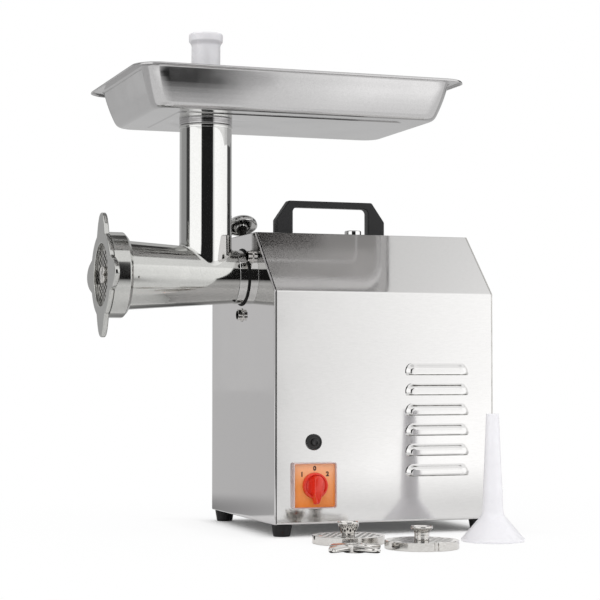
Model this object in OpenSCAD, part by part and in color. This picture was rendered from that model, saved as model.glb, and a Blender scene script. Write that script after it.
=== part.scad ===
// Electric meat grinder with a sheet steel housing, a cone shaped grinding head and a pan tray.
// The origin is on the standing surface, midway between the feet. The head points to -X,
// the control side faces -Y and +Z is up. Every length is in millimetres.

/* [Housing] */
// Length of the housing from the front panel to the rear panel
body_l = 240; // [225:1:270]
// Width of the housing across the two side panels
body_w = 220; // [212:1:240]
// Height of the bend between side panel and slope, above the standing surface
side_h = 246; // [242:1:252]
// Width and height of each 45 degree slope
slope_run = 64; // [60:1:66]
// Thickness of the folded sheet
sheet_t = 1.2; // [0.8:0.1:2]
// Thickness of the front and rear panels
panel_t = 1.5; // [1:0.1:2.5]
// Width of the returns folded inwards under the sides
return_w = 24; // [22:1:30]
// Thickness of the base plate
base_t = 1.5; // [1:0.1:3]

/* [Feet] */
// Height of a rubber foot
foot_h = 12; // [10:0.5:16]
// Diameter of a foot at its top
foot_d = 21; // [18:0.5:23]
// Diameter of a foot where it stands
foot_low_d = 17; // [14:0.5:18]
// Distance from a foot's axis to the outer faces of the housing
foot_inset = 11.5; // [11:0.5:12]

/* [Louvres] */
// Number of louvres on each side
louvre_count = 6; // [2:1:6]
// Length of one louvre
louvre_l = 72; // [40:1:80]
// Height of one louvre
louvre_h = 13; // [9:0.5:15]
// Distance between neighbouring louvres
louvre_pitch = 20.7; // [18:0.1:24]
// How far a louvre stands out of the panel
louvre_depth = 4.5; // [3:0.5:6]
// Height of the lowest louvre's open edge above the standing surface
louvre_low = 58; // [45:1:70]
// Middle of the louvres, from the middle of the housing
louvre_x = 57; // [45:1:62]

/* [Handle] */
// Length of the handle
handle_l = 124; // [110:1:140]
// Height of the handle over the roof
handle_h = 38; // [34:1:50]
// Thickness of the handle
handle_t = 12; // [10:1:20]
// Length of each leg of the handle
handle_leg = 19; // [16:1:24]
// Height of the grip bar
handle_grip = 7; // [6:0.5:12]
// Middle of the handle, from the middle of the housing
handle_x = -21.4; // [-30:0.2:-15]

/* [Controls] */
// Distance of the controls behind the front panel
control_back = 41.5; // [36:0.5:50]
// Height of the switch axis above the standing surface
switch_z = 51; // [46:0.5:56]
// Side of the square switch plate
switch_plate_w = 43.5; // [40:0.5:44]
// Side of the clear frame around the switch plate
switch_frame_w = 46; // [45.5:0.5:54]
// Diameter of the switch knob's skirt
knob_d = 25.8; // [22:0.2:30]
// Height of the reset button's axis above the standing surface
breaker_z = 94.3; // [88:0.1:100]
// Diameter of the nut around the reset button
breaker_nut_d = 16.6; // [15:0.2:20]
// Travel of the reset button
button_travel = 2; // [1.5:0.5:4]

/* [Head] */
// Depth of the head's axis below the roof
axis_drop = 45; // [44.5:0.5:50]
// Length of the barrel from its shoulder at the neck to its front face
barrel_l = 138; // [134:1:146]
// Outer diameter of the barrel at its tail
barrel_tail_d = 56; // [54:0.5:57]
// Outer diameter of the barrel behind the retaining ring
barrel_front_d = 72; // [71:0.5:76]
// Outer diameter of the thread that carries the retaining ring
thread_d = 80; // [79:0.5:81]
// Length of that thread
thread_l = 21; // [18:0.5:24]
// Diameter of the cutting plate
plate_d = 70; // [69:0.1:70.5]
// Thickness of the cutting plate
plate_t = 8; // [7:0.5:9]
// Diameter of the holes in the cutting plate
plate_hole_d = 4.5; // [3.5:0.1:5]
// Outer diameter of the neck that the head plugs into
neck_d = 57; // [56.5:0.5:60]
// Length of the neck in front of the panel
neck_l = 10; // [8:0.5:14]
// Diameter of the head's tail inside the neck
spigot_d = 44; // [42:0.5:46]
// Outer diameter of the retaining ring
ring_d = 89; // [88:0.5:94]
// Distance from the axis to the tips of the ring's star flange
star_tip = 64.5; // [58:0.5:70]
// Distance from the axis to the valleys between the tips
star_valley = 40; // [39:0.5:44]
// Thickness of the star flange
star_t = 5.5; // [4:0.5:7]
// Diameter of the opening in the ring that shows the plate
opening_d = 65; // [62:0.5:66]

/* [Feed tube, tray and pusher] */
// Outer diameter of the feed tube
tube_d = 55; // [54:0.5:56]
// Wall of the feed tube
tube_wall = 2.5; // [2:0.1:3]
// Distance from the front panel to the tube's axis
tube_out = 40; // [39.5:0.5:44]
// Height of the feed tube's rim above the standing surface
tube_top = 424; // [400:1:440]
// Length of the tray over its rim
tray_l = 357; // [340:1:380]
// Width of the tray over its rim
tray_w = 232; // [220:1:250]
// Depth of the tray
tray_h = 40.6; // [30:0.2:55]
// Width of the tray's flat rim
tray_rim = 12; // [8:0.5:16]
// How far the tray's walls lean outwards
tray_flare = 13; // [8:0.5:18]
// Thickness of the tray's sheet
tray_t = 1; // [0.8:0.1:1.6]
// Distance from the tube's axis to the middle of the tray
tray_shift = 75.3; // [70:0.1:80]
// Length of the pusher
pusher_l = 230; // [180:1:240]
// Diameter of the pusher's shaft
pusher_d = 30.5; // [26:0.5:34]
// Diameter of the pusher's foot inside the tube
pusher_foot_d = 44; // [40:0.5:45]

/* [Lock knob] */
// Distance of the lock knob's axis behind the front panel
lock_back = 9; // [8:0.5:10]
// Lean of the lock knob from upright, away from the control side
lock_lean = 27.5; // [22:0.5:30]
// Diameter of the lock knob
lock_d = 34; // [30:0.5:35]
// Distance from the head's axis to the lower face of the lock knob
lock_reach = 61.5; // [61:0.5:68]

/* [Gears and motor] */
// Teeth of the two large gears
gear_teeth = 54; // [54]
// Teeth of the two pinions
pinion_teeth = 18; // [18]
// Module of the output pair
output_module = 1.25; // [1.25]
// Module of the motor pair
motor_module = 1; // [1]
// Outer diameter of the motor
motor_d = 124; // [118:1:130]
// Length of the motor's stator frame
motor_l = 85; // [80:1:90]

/* [Spare parts] */
// Height of the knob on a spare plate, above the plate
hub_h = 13; // [10:0.5:18]
// Height of the stuffing funnel
funnel_h = 124; // [100:1:140]
// Diameter of the stuffing funnel's base
funnel_d = 62; // [56:1:64]

/* [Hidden] */

$fn = 96;
gap = 0.3;                                   // between curved neighbours that move apart
run = 0.05;                                  // radial clearance of a running fit

// housing
front_x = -body_l / 2;
rear_x = body_l / 2;
roof_z = side_h + slope_run;
axis_z = roof_z - axis_drop;                 // height of the head's axis
floor_z = foot_h;                            // lowest edge of the housing
base_z = foot_h + sheet_t;                   // underside of the base plate
base_top = base_z + base_t;
side_in = body_w / 2 - sheet_t;              // inner face of a side panel
louvre_r = 9;                                // rounded upper corners of a louvre
control_x = front_x + control_back;

switch_hole = 17;                            // half the side of the switch's opening

// screws
m4 = 2;                                      // radius of an M4 screw
panel_screw_r = 1.7;                         // small screws of the rear panel
panel_screw_l = 12;
panel_screw_low = 40;                        // height of the lower pair
panel_screw_top = 20;                        // upper pair, down from the side's top
panel_screw_in = 9;                          // in from the side
panel_head_h = 2.2;
panel_head_r = 3.4;
panel_head_top = 2.6;
panel_nut_l = 9;
panel_nut_r = 5;
flange_bolt_l = 20;                          // behind the front panel's face
flange_head_h = 5;
flange_head_r = 5.6;
m5 = 2.5;
m6 = 3;
slack = 0.4;                                 // a clearance hole's extra radius

// neck and head
neck_r = neck_d / 2;
spigot_r = spigot_d / 2;
socket_r = spigot_r + gap;
neck_x = front_x - neck_l;                   // face of the neck
gasket_t = 1.2;
flange_bolt_r = 40;                          // radius of the bolt circle
shoulder_x = neck_x - gap;                   // the barrel's shoulder
spigot_end = front_x + 13.5;
barrel_front = shoulder_x - barrel_l;
thread_r = thread_d / 2;
thread_back = barrel_front + thread_l;
tail_r = barrel_tail_d / 2;
front_r = barrel_front_d / 2;
recess_r = plate_d / 2 + 0.15;
lip_t = 4;                                   // the ring's lip in front of the plate
plate_front = barrel_front - 0.5;
plate_back = plate_front + plate_t;
ring_front = plate_front - lip_t;
ring_in_r = thread_r + gap;
bore_wall = 4.7;
bore_front_r = front_r - bore_wall;
bore_rear_r = tail_r - bore_wall + 0.7;
knife_t = 8;
knife_back = plate_back + 0.2 + knife_t;
auger_front = knife_back + 0.3;
tail_pin_r = 11;
bush_r = 15;
bush_end = shoulder_x + 6;
square = 14.6;                               // side of the auger's driving square
square_end = front_x + 11.5;
nose_r = 5;                                  // the auger's pin in the plate
knife_square = 11.6;

// feed tube, tray and pusher
tube_x = front_x - tube_out;
tube_r = tube_d / 2;
tube_in = tube_r - tube_wall;
chamber_back = tube_x + tube_in;             // the chamber's rear wall, flush with the tube
auger_back = chamber_back - gap;
bead_h = 3.6;
tray_z = tube_top + 4.2;                     // underside of the tray
tray_x = tube_x + tray_shift;
tray_in = tube_in - gap;                     // outer radius of the tray's spigot
tray_spigot_t = 1.4;
tray_spigot_l = 22;
tray_corner = 26;
pusher_low = axis_z + auger_r(tube_x - pusher_foot_d / 2) + gap;
pusher_lip = 2.75;
pusher_wall = 2.2;

// lock knob
lock_x = front_x + lock_back;
stud_r = 4;
lock_rim = 3;                                // straight edge of the lock knob
lock_lip = 3;                                // width of the rim round its hollow underside
lock_dome = 8.5;                             // height of its dome above the rim
lock_boss_r = 6.5;
lock_boss_l = 5;

// gearbox: the wheels sit one over the other on three shafts
case_wall = 4;
case_r = (gear_teeth / 2 + 1) * output_module + 1.2 + case_wall;
box_x = front_x + panel_t;
box_front_t = 28;
cave_x = box_x + box_front_t;                // start of the gearbox's cavity
cave_l = 38;
back_x = cave_x + cave_l;
back_t = 14;
box_end = back_x + back_t;
output_pitch_r = gear_teeth * output_module / 2;
output_pinion_r = pinion_teeth * output_module / 2;
motor_gear_r = gear_teeth * motor_module / 2;
motor_pinion_r = pinion_teeth * motor_module / 2;
middle_z = axis_z - output_pitch_r - output_pinion_r;
motor_z = middle_z - motor_gear_r - motor_pinion_r;
case_low = motor_z - 24;
coupling_r = 14;
output_r = 10;
output_rear_r = 7.5;
front_bearing_r = 21;
front_bearing_l = 12;
rear_bearing_r = 16;
rear_bearing_l = 9;
middle_r = 6;
middle_bearing_r = 14;
middle_bearing_l = 8;
seal_l = 3.5;
shaft_gap = 1.5;                             // clearance of a shaft in a wall that doesn't carry it
case_head_r = 3.6;                           // heads of the gearbox bolts
case_head_t = 3.5;
output_gear_in = 4;                          // from the cavity's front to the output wheel
output_gear_l = 14;
middle_pinion_in = 3;
middle_pinion_l = 16;
middle_gear_in = 22;
middle_gear_l = 10;
motor_pinion_x = cave_x + middle_gear_in - 1;
motor_pinion_l = middle_gear_l + 2;
web_t = 6;                                   // thickness of the output wheel's web
seal_x = cave_x - front_bearing_l - seal_l;
shaft_front = front_x - 2;

// motor
motor_r = motor_d / 2;
motor_wall = 3.5;
bell_t = 12;
frame_x = box_end + bell_t;
frame_end = frame_x + motor_l;
bell_end = frame_end + bell_t;
stack_front = 18.5;                          // from the frame's front edge to the stack
stack_rear = 16.5;
stack_x = frame_x + stack_front;
stack_l = motor_l - stack_front - stack_rear;
winding_l = 14;                              // length of the windings past the stack
winding_in = 4;                              // clearance of the windings to the rotor
winding_out = 3.5;                           // clearance of the windings to the frame
rotor_r = 32.5;
air_gap = 0.5;
bell_hole_r = 7;
fan_gap = 3;
fan_x = bell_end + fan_gap;
fan_l = 12;
fan_r = motor_r - 8;
fan_hub_r = 14;
fan_plate_t = 2;
cradle_in = 12;                              // from the frame's front edge to the cradle
cradle_l = 60;
cradle_t = 3;
cradle_low = 20;                             // how far the saddle ends below the axis

// run capacitor, lying beside the motor
cap_r = 20;
cap_l = 78;
cap_x = 10;
cap_side = 10.8;                             // clearance to the side panel
cap_tag_l = 8;
cap_tag_r = 2.4;
cap_tag_gap = 7;
clamp_in = 30;                               // from the capacitor's front face to its clamp
clamp_l = 18;
clamp_t = 1.5;
clamp_foot = 10;                             // width of the clamp's foot
clamp_gap = 3;                               // from the clamp's foot to the cradle
cap_y = side_in - cap_side - cap_r;
cap_z = base_top + clamp_t + cap_r;
cradle_w = 2 * (cap_y - cap_r - clamp_foot - clamp_gap);

// spare parts on the standing surface: middle of each
hub_gap = 0.05;
hub_waist_r = 6.4;
hub_top_r = 10.5;
plate_a_at = [-71, -188];
plate_b_at = [-23.6, -256.7];
knife_at = [-96, -270];
funnel_at = [70, -214.3];

// ---- helpers ----

// cylinder, cone and box along X between two places
module rod(x0, x1, r, r2 = undef) {
    translate([x0, 0, 0]) rotate([0, 90, 0])
        cylinder(h = x1 - x0, r1 = r, r2 = is_undef(r2) ? r : r2);
}
module block(x0, x1, y0, y1, z0, z1) {
    translate([x0, y0, z0]) cube([x1 - x0, y1 - y0, z1 - z0]);
}
module tube(x0, x1, r_out, r_in) {
    difference() {
        rod(x0, x1, r_out);
        rod(x0 - 1, x1 + 1, r_in);
    }
}
// a shape drawn in (Y, Z), extruded along X
module along_x(x0, x1) {
    translate([x0, 0, 0]) rotate([90, 0, 90]) linear_extrude(x1 - x0) children();
}
// a shape drawn in (X, Z), extruded along Y
module along_y(y0, y1) {
    translate([0, y1, 0]) rotate([90, 0, 0]) linear_extrude(y1 - y0) children();
}
// outline of a rectangle with round corners, as points
function round_rect(l, w, r, n = 8) = [
    for (c = [[1, 1, 0], [-1, 1, 90], [-1, -1, 180], [1, -1, 270]], i = [0 : n])
        [c[0] * (l / 2 - r) + r * cos(c[2] + 90 * i / n),
         c[1] * (w / 2 - r) + r * sin(c[2] + 90 * i / n)]
];
// the housing's cross-section, drawn inwards by t, down to the height low
function section(t, low) =
    let (half = body_w / 2 - t,
         bend = body_w / 2 + side_h - t * sqrt(2),
         top = roof_z - t)
    [[-half, low], [half, low], [half, bend - half], [bend - top, top],
     [top - bend, top], [-half, bend - half]];

// involute of a spur gear with a little backlash: half of a tooth's angle at radius r
function inv(a) = tan(a) * 180 / PI - a;
function half_tooth(teeth, mod, r) =
    let (pitch = teeth * mod / 2,
         base = pitch * cos(20),
         at = acos(min(1, base / max(r, base))))
    90 / teeth - 0.06 / pitch * 180 / PI + inv(20) - inv(at);
function gear_points(teeth, mod, turn = 0) =
    let (pitch = teeth * mod / 2,
         root = pitch - 1.25 * mod,
         tip = pitch + mod,
         start = max(root, pitch * cos(20)),
         rise = [for (i = [0 : 4]) start + (tip - start) * i / 4])
    [for (k = [0 : teeth - 1])
        let (mid = turn + 360 * k / teeth)
        each concat(
            [let (a = mid - half_tooth(teeth, mod, start)) root * [cos(a), sin(a)]],
            [for (r = rise) let (a = mid - half_tooth(teeth, mod, r)) r * [cos(a), sin(a)]],
            [for (i = [4 : -1 : 0])
                let (r = rise[i], a = mid + half_tooth(teeth, mod, r)) r * [cos(a), sin(a)]],
            [let (a = mid + half_tooth(teeth, mod, start)) root * [cos(a), sin(a)]])];

// radius of the chamber and of the auger's flight at a place along X
function bore_r(x) = bore_front_r
    + (bore_rear_r - bore_front_r) * (x - thread_back) / (chamber_back - thread_back);
function auger_r(x) = min(bore_front_r, bore_r(x)) - 0.6;

// ---- housing ----

module louvre_shape(inset) {
    polygon(concat(
        [[-louvre_l / 2 + inset, 0], [louvre_l / 2 - inset, 0]],
        [for (i = [0 : 8]) let (a = 90 * i / 8)
            [louvre_l / 2 - louvre_r + (louvre_r - inset) * cos(a),
             louvre_h - louvre_r + (louvre_r - inset) * sin(a)]],
        [for (i = [0 : 8]) let (a = 90 + 90 * i / 8)
            [-louvre_l / 2 + louvre_r + (louvre_r - inset) * cos(a),
             louvre_h - louvre_r + (louvre_r - inset) * sin(a)]]));
}
// the swelling of a louvre: a quarter ellipse that is deepest at its open lower edge
module louvre_body(inset, back) {
    depth = louvre_depth - inset;
    rise = louvre_h - inset;
    intersection() {
        along_y(-depth - 1, back + 1) louvre_shape(inset);
        along_x(-louvre_l, louvre_l) polygon(concat(
            [[back, rise], [back, 0]],
            [for (i = [0 : 8]) [-depth * cos(90 * i / 8), rise * sin(90 * i / 8)]]));
    }
}
module each_louvre() {
    for (side = [0, 1], k = [0 : louvre_count - 1])
        mirror([0, side, 0])
            translate([louvre_x, -body_w / 2, louvre_low + k * louvre_pitch]) children();
}
module body_shell() color("gainsboro") difference() {
    union() {
        difference() {
            along_x(front_x + panel_t, rear_x - panel_t) polygon(section(0, floor_z));
            along_x(front_x, rear_x) polygon(section(sheet_t, floor_z - 1));
        }
        for (side = [0, 1])
            mirror([0, side, 0])
                block(front_x + panel_t, rear_x - panel_t,
                      -side_in - 0.01, -side_in + return_w, floor_z, base_z);
        each_louvre() louvre_body(0, sheet_t / 2);
    }
    each_louvre() translate([0, 0, -0.1]) louvre_body(1, sheet_t + 1);
    // holes for the switch, the breaker, the handle, the plug, the lock stud and the feet
    translate([control_x, 0, 0]) {
        block(-switch_hole, switch_hole, -body_w / 2 - 1, -side_in + 1,
              switch_z - switch_hole, switch_z + switch_hole);
        translate([0, -body_w / 2, breaker_z]) rotate([90, 0, 0])
            cylinder(h = 10, r = 6.2, center = true);
    }
    each_handle_screw() translate([0, 0, roof_z - 5]) cylinder(h = 10, r = m5 + slack);
    translate([plug_x, 0, roof_z - 5]) cylinder(h = 10, r = m6 + slack);
    lock_axis() cylinder(h = 100, r = stud_r + 1.2);
    each_foot() translate([0, 0, floor_z - 1]) cylinder(h = 5, r = m4 + slack);
}
module each_foot() {
    for (sx = [-1, 1], sy = [-1, 1]) foot_place(sx, sy) children();
}
module foot_place(sx, sy) {
    translate([sx * (body_l / 2 - foot_inset), sy * (body_w / 2 - foot_inset), 0]) children();
}
module panel_blank(x0) {
    along_x(x0, x0 + panel_t) polygon(section(0, floor_z));
}
module front_panel() color("silver") difference() {
    panel_blank(front_x);
    on_axis() rod(front_x - 1, front_x + 3, neck_r + gap);
    each_flange_bolt() rod(front_x - 1, front_x + 3, m6 + slack);
}
module rear_panel() color("silver") difference() {
    panel_blank(rear_x - panel_t);
    // rows of air slots in front of the fan
    for (k = [-3 : 3])
        along_x(rear_x - 3, rear_x + 1)
            translate([0, motor_z + 11 * k]) polygon(round_rect(70, 5, 2.4, 4));
    gland_place() rod(-panel_t - 1, 1, gland_r + gap);
    each_panel_screw() rod(-panel_t - 1, 1, panel_screw_r + slack);
}
// the rear panel's screws go into small nuts on the shell's edge
module each_panel_screw() {
    for (sy = [-1, 1], z = [panel_screw_low, side_h - panel_screw_top])
        translate([rear_x, sy * (body_w / 2 - panel_screw_in), z]) children();
}
module panel_screws() color("silver") each_panel_screw() {
    rod(0, panel_head_h, panel_head_r, panel_head_top);
    rod(-panel_screw_l, 0.01, panel_screw_r);
    block(-panel_t - panel_nut_l, -panel_t, -panel_nut_r, panel_nut_r, -panel_nut_r, panel_nut_r);
}
module base_plate() color("dimgray") difference() {
    block(front_x + panel_t + gap, rear_x - panel_t - gap,
          -side_in + gap, side_in - gap, base_z, base_top);
    each_foot() translate([0, 0, base_z - 1]) cylinder(h = 5, r = m4 + slack);
    // air slots under the motor
    for (k = [-4 : 4])
        translate([10 * k, 0, base_z - 1]) linear_extrude(5) polygon(round_rect(4.5, 60, 2, 4));
}

// ---- feet ----

module foot() color([0.1, 0.1, 0.1]) difference() {
    cylinder(h = foot_h, r1 = foot_low_d / 2, r2 = foot_d / 2);
    translate([0, 0, -1]) cylinder(h = 5, r = 4.4);
    cylinder(h = 3 * foot_h, r = m4 + 0.1, center = true);
}
module foot_screws() color("silver") each_foot() {
    difference() {
        translate([0, 0, 1.6]) cylinder(h = 2.4, r = 3.9);
        translate([-3, -0.5, 1]) cube([6, 1, 1.4]);
    }
    translate([0, 0, 3.9]) cylinder(h = base_top + 5 - 3.9, r = m4);
    translate([0, 0, base_top]) cylinder(h = 3.2, r = 4, $fn = 6);
}

// ---- handle and roof plug ----

handle_chamfer = 14.5;
handle_slant = 21;
handle_hole_r = 5;
module handle_side() {
    half = handle_l / 2;
    inner = half - handle_leg;
    under = handle_h - handle_grip;
    difference() {
        polygon([[-half, 0], [half, 0], [half, handle_h - handle_slant],
                 [half - handle_chamfer, handle_h], [handle_chamfer - half, handle_h],
                 [-half, handle_h - handle_slant]]);
        translate([0, -1]) polygon(concat(
            [[-inner, 0], [inner, 0]],
            [for (i = [0 : 8]) let (a = 90 * i / 8)
                [inner - handle_hole_r * (1 - cos(a)), under + 1 - handle_hole_r * (1 - sin(a))]],
            [for (i = [0 : 8]) let (a = 90 + 90 * i / 8)
                [-inner + handle_hole_r * (1 + cos(a)),
                 under + 1 - handle_hole_r * (1 - sin(a))]]));
    }
}
handle_screw_l = 15;
module each_handle_screw() {
    for (s = [-1, 1])
        translate([handle_x + s * (handle_l - handle_leg) / 2, 0, 0]) children();
}
module top_handle() color([0.12, 0.12, 0.12]) difference() {
    translate([handle_x, 0, roof_z])
        along_y(-handle_t / 2, handle_t / 2) handle_side();
    each_handle_screw() translate([0, 0, roof_z - 1]) cylinder(h = handle_screw_l + 2, r = m5);
}
module handle_screws() color("silver") each_handle_screw() {
    translate([0, 0, roof_z - sheet_t]) cylinder(h = handle_screw_l + sheet_t, r = m5);
    translate([0, 0, roof_z - sheet_t - 3]) cylinder(h = 3, r = 4.6);
}
plug_x = handle_x + 27.6;
plug_r = 9;
module roof_plug() color("silver") translate([plug_x, 0, 0]) {
    translate([0, 0, roof_z]) cylinder(h = 5.5, r = plug_r);
    translate([0, 0, roof_z + 5.5]) cylinder(h = 2, r1 = plug_r, r2 = plug_r - 2);
    translate([0, 0, roof_z - 8]) cylinder(h = 8.01, r = m6);
    translate([0, 0, roof_z - sheet_t - 5]) cylinder(h = 5, r = 5.5, $fn = 6);
}

// ---- neck ----

module on_axis() {
    translate([0, 0, axis_z]) children();
}
module each_flange_bolt() {
    for (a = [30, 150, 270])
        translate([0, flange_bolt_r * cos(a), axis_z + flange_bolt_r * sin(a)]) children();
}
module neck_socket() color("silver") difference() {
    on_axis() difference() {
        rod(neck_x, seal_x + seal_l, neck_r);
        rod(neck_x - 1, seal_x + seal_l + 1, socket_r);
    }
    lock_axis() cylinder(h = 60, r = stud_r + run);
}
module neck_gasket() color([0.08, 0.08, 0.08]) on_axis()
    tube(front_x - gasket_t, front_x, neck_r + 3, neck_r + 0.05);
module flange_bolts() color("silver") each_flange_bolt() {
    translate([front_x - flange_head_h, 0, 0]) rotate([0, 90, 0])
        cylinder(h = flange_head_h, r = flange_head_r, $fn = 6);
    rod(front_x - 0.01, front_x + flange_bolt_l, m6);
}

// ---- gearbox ----

module case_shape(r) {
    translate([0, axis_z]) circle(r = r);
    translate([-r, case_low + case_r - r]) square([2 * r, axis_z - case_low - case_r + r]);
}
module gearbox_front() color("darkgray") difference() {
    along_x(box_x, cave_x) {
        case_shape(case_r);
        case_lugs();
        for (a = [30, 150])
            translate([flange_bolt_r * cos(a), axis_z + flange_bolt_r * sin(a)]) circle(r = 8);
    }
    on_axis() rod(box_x - 1, seal_x + seal_l, neck_r);
    on_axis() rod(seal_x, cave_x + 1, front_bearing_r);
    translate([0, 0, middle_z]) rod(cave_x - middle_bearing_l, cave_x + 1, middle_bearing_r);
    each_flange_bolt() rod(box_x - 1, box_x + 19, m6);
    each_case_bolt() rod(cave_x - 16, cave_x + 1, m4);
    lock_axis() cylinder(h = 60, r = stud_r + run);
}
module gearbox_rear() color("darkgray") difference() {
    along_x(cave_x, box_end) {
        case_shape(case_r);
        case_lugs();
    }
    along_x(cave_x - 1, back_x) difference() {
        case_shape(case_r - case_wall);
        each_case_boss();
    }
    on_axis() rod(back_x - 1, back_x + rear_bearing_l, rear_bearing_r);
    translate([0, 0, middle_z]) rod(back_x - 1, back_x + middle_bearing_l, middle_bearing_r);
    translate([0, 0, motor_z]) rod(back_x - 1, box_end + 1, motor_pinion_r + 4);
    each_case_bolt() rod(cave_x - 1, box_end + 1, m4 + 0.1);
}
// two bolts go through lugs above the wheels, two through bosses below them
lug_r = 7;
lug_out = (case_r + 3.5) * sin(45);
case_bolts = [[-lug_out, axis_z + lug_out], [lug_out, axis_z + lug_out],
              [-case_r + 5.5, case_low + 8], [case_r - 5.5, case_low + 8]];
module case_lugs() {
    for (s = [-1, 1]) translate([s * lug_out, axis_z + lug_out]) circle(r = lug_r);
}
module each_case_boss() {
    for (p = case_bolts) translate(p) circle(r = 5.5);
}
module each_case_bolt() {
    for (p = case_bolts) translate([0, p[0], p[1]]) children();
}
module gearbox_bolts() color("silver") each_case_bolt() {
    rod(cave_x - 15, box_end + 0.01, m4);
    rod(box_end, box_end + case_head_t, case_head_r);
}
module shaft_seal() color([0.15, 0.1, 0.08]) on_axis()
    tube(seal_x, seal_x + seal_l, socket_r, coupling_r + run);
// races and balls' band of one bearing: two rings with a cage between them
module bearing(x0, l, r_out, r_in) {
    step = (r_out - r_in) / 3;
    tube(x0, x0 + l, r_out, r_out - step);
    tube(x0, x0 + l, r_in + step, r_in + run);
    tube(x0 + l / 4, x0 + l * 3 / 4, r_out - step + 0.01, r_in + step - 0.01);
}
module ball_bearings() color("lightsteelblue") {
    on_axis() {
        bearing(cave_x - front_bearing_l, front_bearing_l, front_bearing_r, output_r);
        bearing(back_x, rear_bearing_l, rear_bearing_r, output_rear_r);
    }
    translate([0, 0, middle_z]) {
        bearing(cave_x - middle_bearing_l, middle_bearing_l, middle_bearing_r, middle_r);
        bearing(back_x, middle_bearing_l, middle_bearing_r, middle_r);
    }
    on_motor() {
        bearing(frame_x - rear_bearing_l, rear_bearing_l, rear_bearing_r, output_rear_r);
        bearing(frame_end, rear_bearing_l, rear_bearing_r, output_rear_r);
    }
}
module output_shaft() color("silver") on_axis() difference() {
    union() {
        rod(shaft_front, seal_x + seal_l - 0.1, coupling_r);
        rod(seal_x + seal_l - 0.11, back_x, output_r);
        rod(back_x - 0.01, back_x + rear_bearing_l, output_rear_r);
    }
    block(shaft_front - 1, square_end + 1.5, -square / 2 - gap, square / 2 + gap,
          -square / 2 - gap, square / 2 + gap);
}
module gear(x0, l, teeth, mod, bore, turn = 0) {
    along_x(x0, x0 + l) difference() {
        polygon(gear_points(teeth, mod, turn));
        circle(r = bore);
    }
}
module output_gear() color("goldenrod") on_axis() difference() {
    gear(cave_x + output_gear_in, output_gear_l, gear_teeth, output_module, output_r);
    // the web is turned thinner on both faces
    side = (output_gear_l - web_t) / 2;
    for (x = [cave_x + output_gear_in - 1, cave_x + output_gear_in + side + web_t])
        tube(x, x + side + 1, output_pitch_r * 0.82, output_r * 1.6);
}
// both middle wheels are cut on one shaft
module middle_gear() color("goldenrod") translate([0, 0, middle_z]) {
    rod(cave_x - middle_bearing_l, back_x + middle_bearing_l, middle_r);
    gear(cave_x + middle_pinion_in, middle_pinion_l, pinion_teeth, output_module, middle_r - 1,
         180 / pinion_teeth);
    tube(cave_x + middle_pinion_in + middle_pinion_l - 0.1, cave_x + middle_gear_in + 0.1,
         output_pinion_r - 2, middle_r - 1);
    gear(cave_x + middle_gear_in, middle_gear_l, gear_teeth, motor_module, middle_r - 1);
}

// ---- motor ----

module on_motor() {
    translate([0, 0, motor_z]) children();
}
module each_bell_hole() {
    for (a = [30 : 60 : 330])
        rotate([a, 0, 0]) translate([0, 0, motor_r * 0.62]) children();
}
module motor_frame() color("slategray") on_motor()
    tube(frame_x, frame_end, motor_r, motor_r - motor_wall);
module motor_front_bell() color("darkgray") on_motor() difference() {
    rod(box_end, frame_x, motor_r);
    rod(frame_x - rear_bearing_l, frame_x + 1, rear_bearing_r);
    rod(box_end - 1, frame_x + 1, output_rear_r + shaft_gap);
    each_case_head() rod(box_end - 1, box_end + case_head_t + 1, case_head_r + 0.6);
}
// the heads of the gearbox bolts sink into the motor's front bell
module each_case_head() {
    for (p = case_bolts) translate([0, p[0], p[1] - motor_z]) children();
}
module motor_rear_bell() color("darkgray") on_motor() difference() {
    rod(frame_end, bell_end, motor_r);
    rod(frame_end - 1, frame_end + rear_bearing_l, rear_bearing_r);
    rod(frame_end - 1, bell_end + 1, output_rear_r + shaft_gap);
    each_bell_hole() rod(frame_end - 1, bell_end + 1, bell_hole_r);
}
module stator_core() color("gray") on_motor()
    tube(stack_x, stack_x + stack_l, motor_r - motor_wall, rotor_r + air_gap);
module stator_windings() color("peru") on_motor() {
    for (x = [stack_x - winding_l, stack_x + stack_l])
        tube(x, x + winding_l, motor_r - motor_wall - winding_out, rotor_r + winding_in);
}
module rotor_shaft() color("silver") on_motor() {
    rod(motor_pinion_x + 1, frame_x - rear_bearing_l, middle_r);
    rod(frame_x - rear_bearing_l - 0.01, fan_x + fan_l, output_rear_r);
}
module rotor_core() color("dimgray") on_motor()
    tube(stack_x, stack_x + stack_l, rotor_r, output_rear_r);
module motor_pinion() color("goldenrod") on_motor()
    gear(motor_pinion_x, motor_pinion_l, pinion_teeth, motor_module, middle_r,
         180 / pinion_teeth);
module cooling_fan() color("ivory") on_motor() {
    tube(fan_x, fan_x + fan_l, fan_hub_r, output_rear_r);
    tube(fan_x, fan_x + fan_plate_t, fan_r * 0.85, fan_hub_r - 0.1);
    for (a = [0 : 40 : 320])
        rotate([a, 0, 0])
            block(fan_x, fan_x + fan_l, -fan_plate_t / 2, fan_plate_t / 2, fan_hub_r - 0.5, fan_r);
}
module motor_cradle() color("gray") difference() {
    union() {
        block(frame_x + cradle_in, frame_x + cradle_in + cradle_l, -cradle_w / 2, cradle_w / 2,
              base_top, base_top + cradle_t);
        for (x = [frame_x + cradle_in, frame_x + cradle_in + cradle_l - cradle_t])
            block(x, x + cradle_t, -cradle_w / 2, cradle_w / 2, base_top, motor_z - cradle_low);
    }
    on_motor() rod(frame_x, frame_end, motor_r);
}

// ---- electrical parts ----

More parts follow.
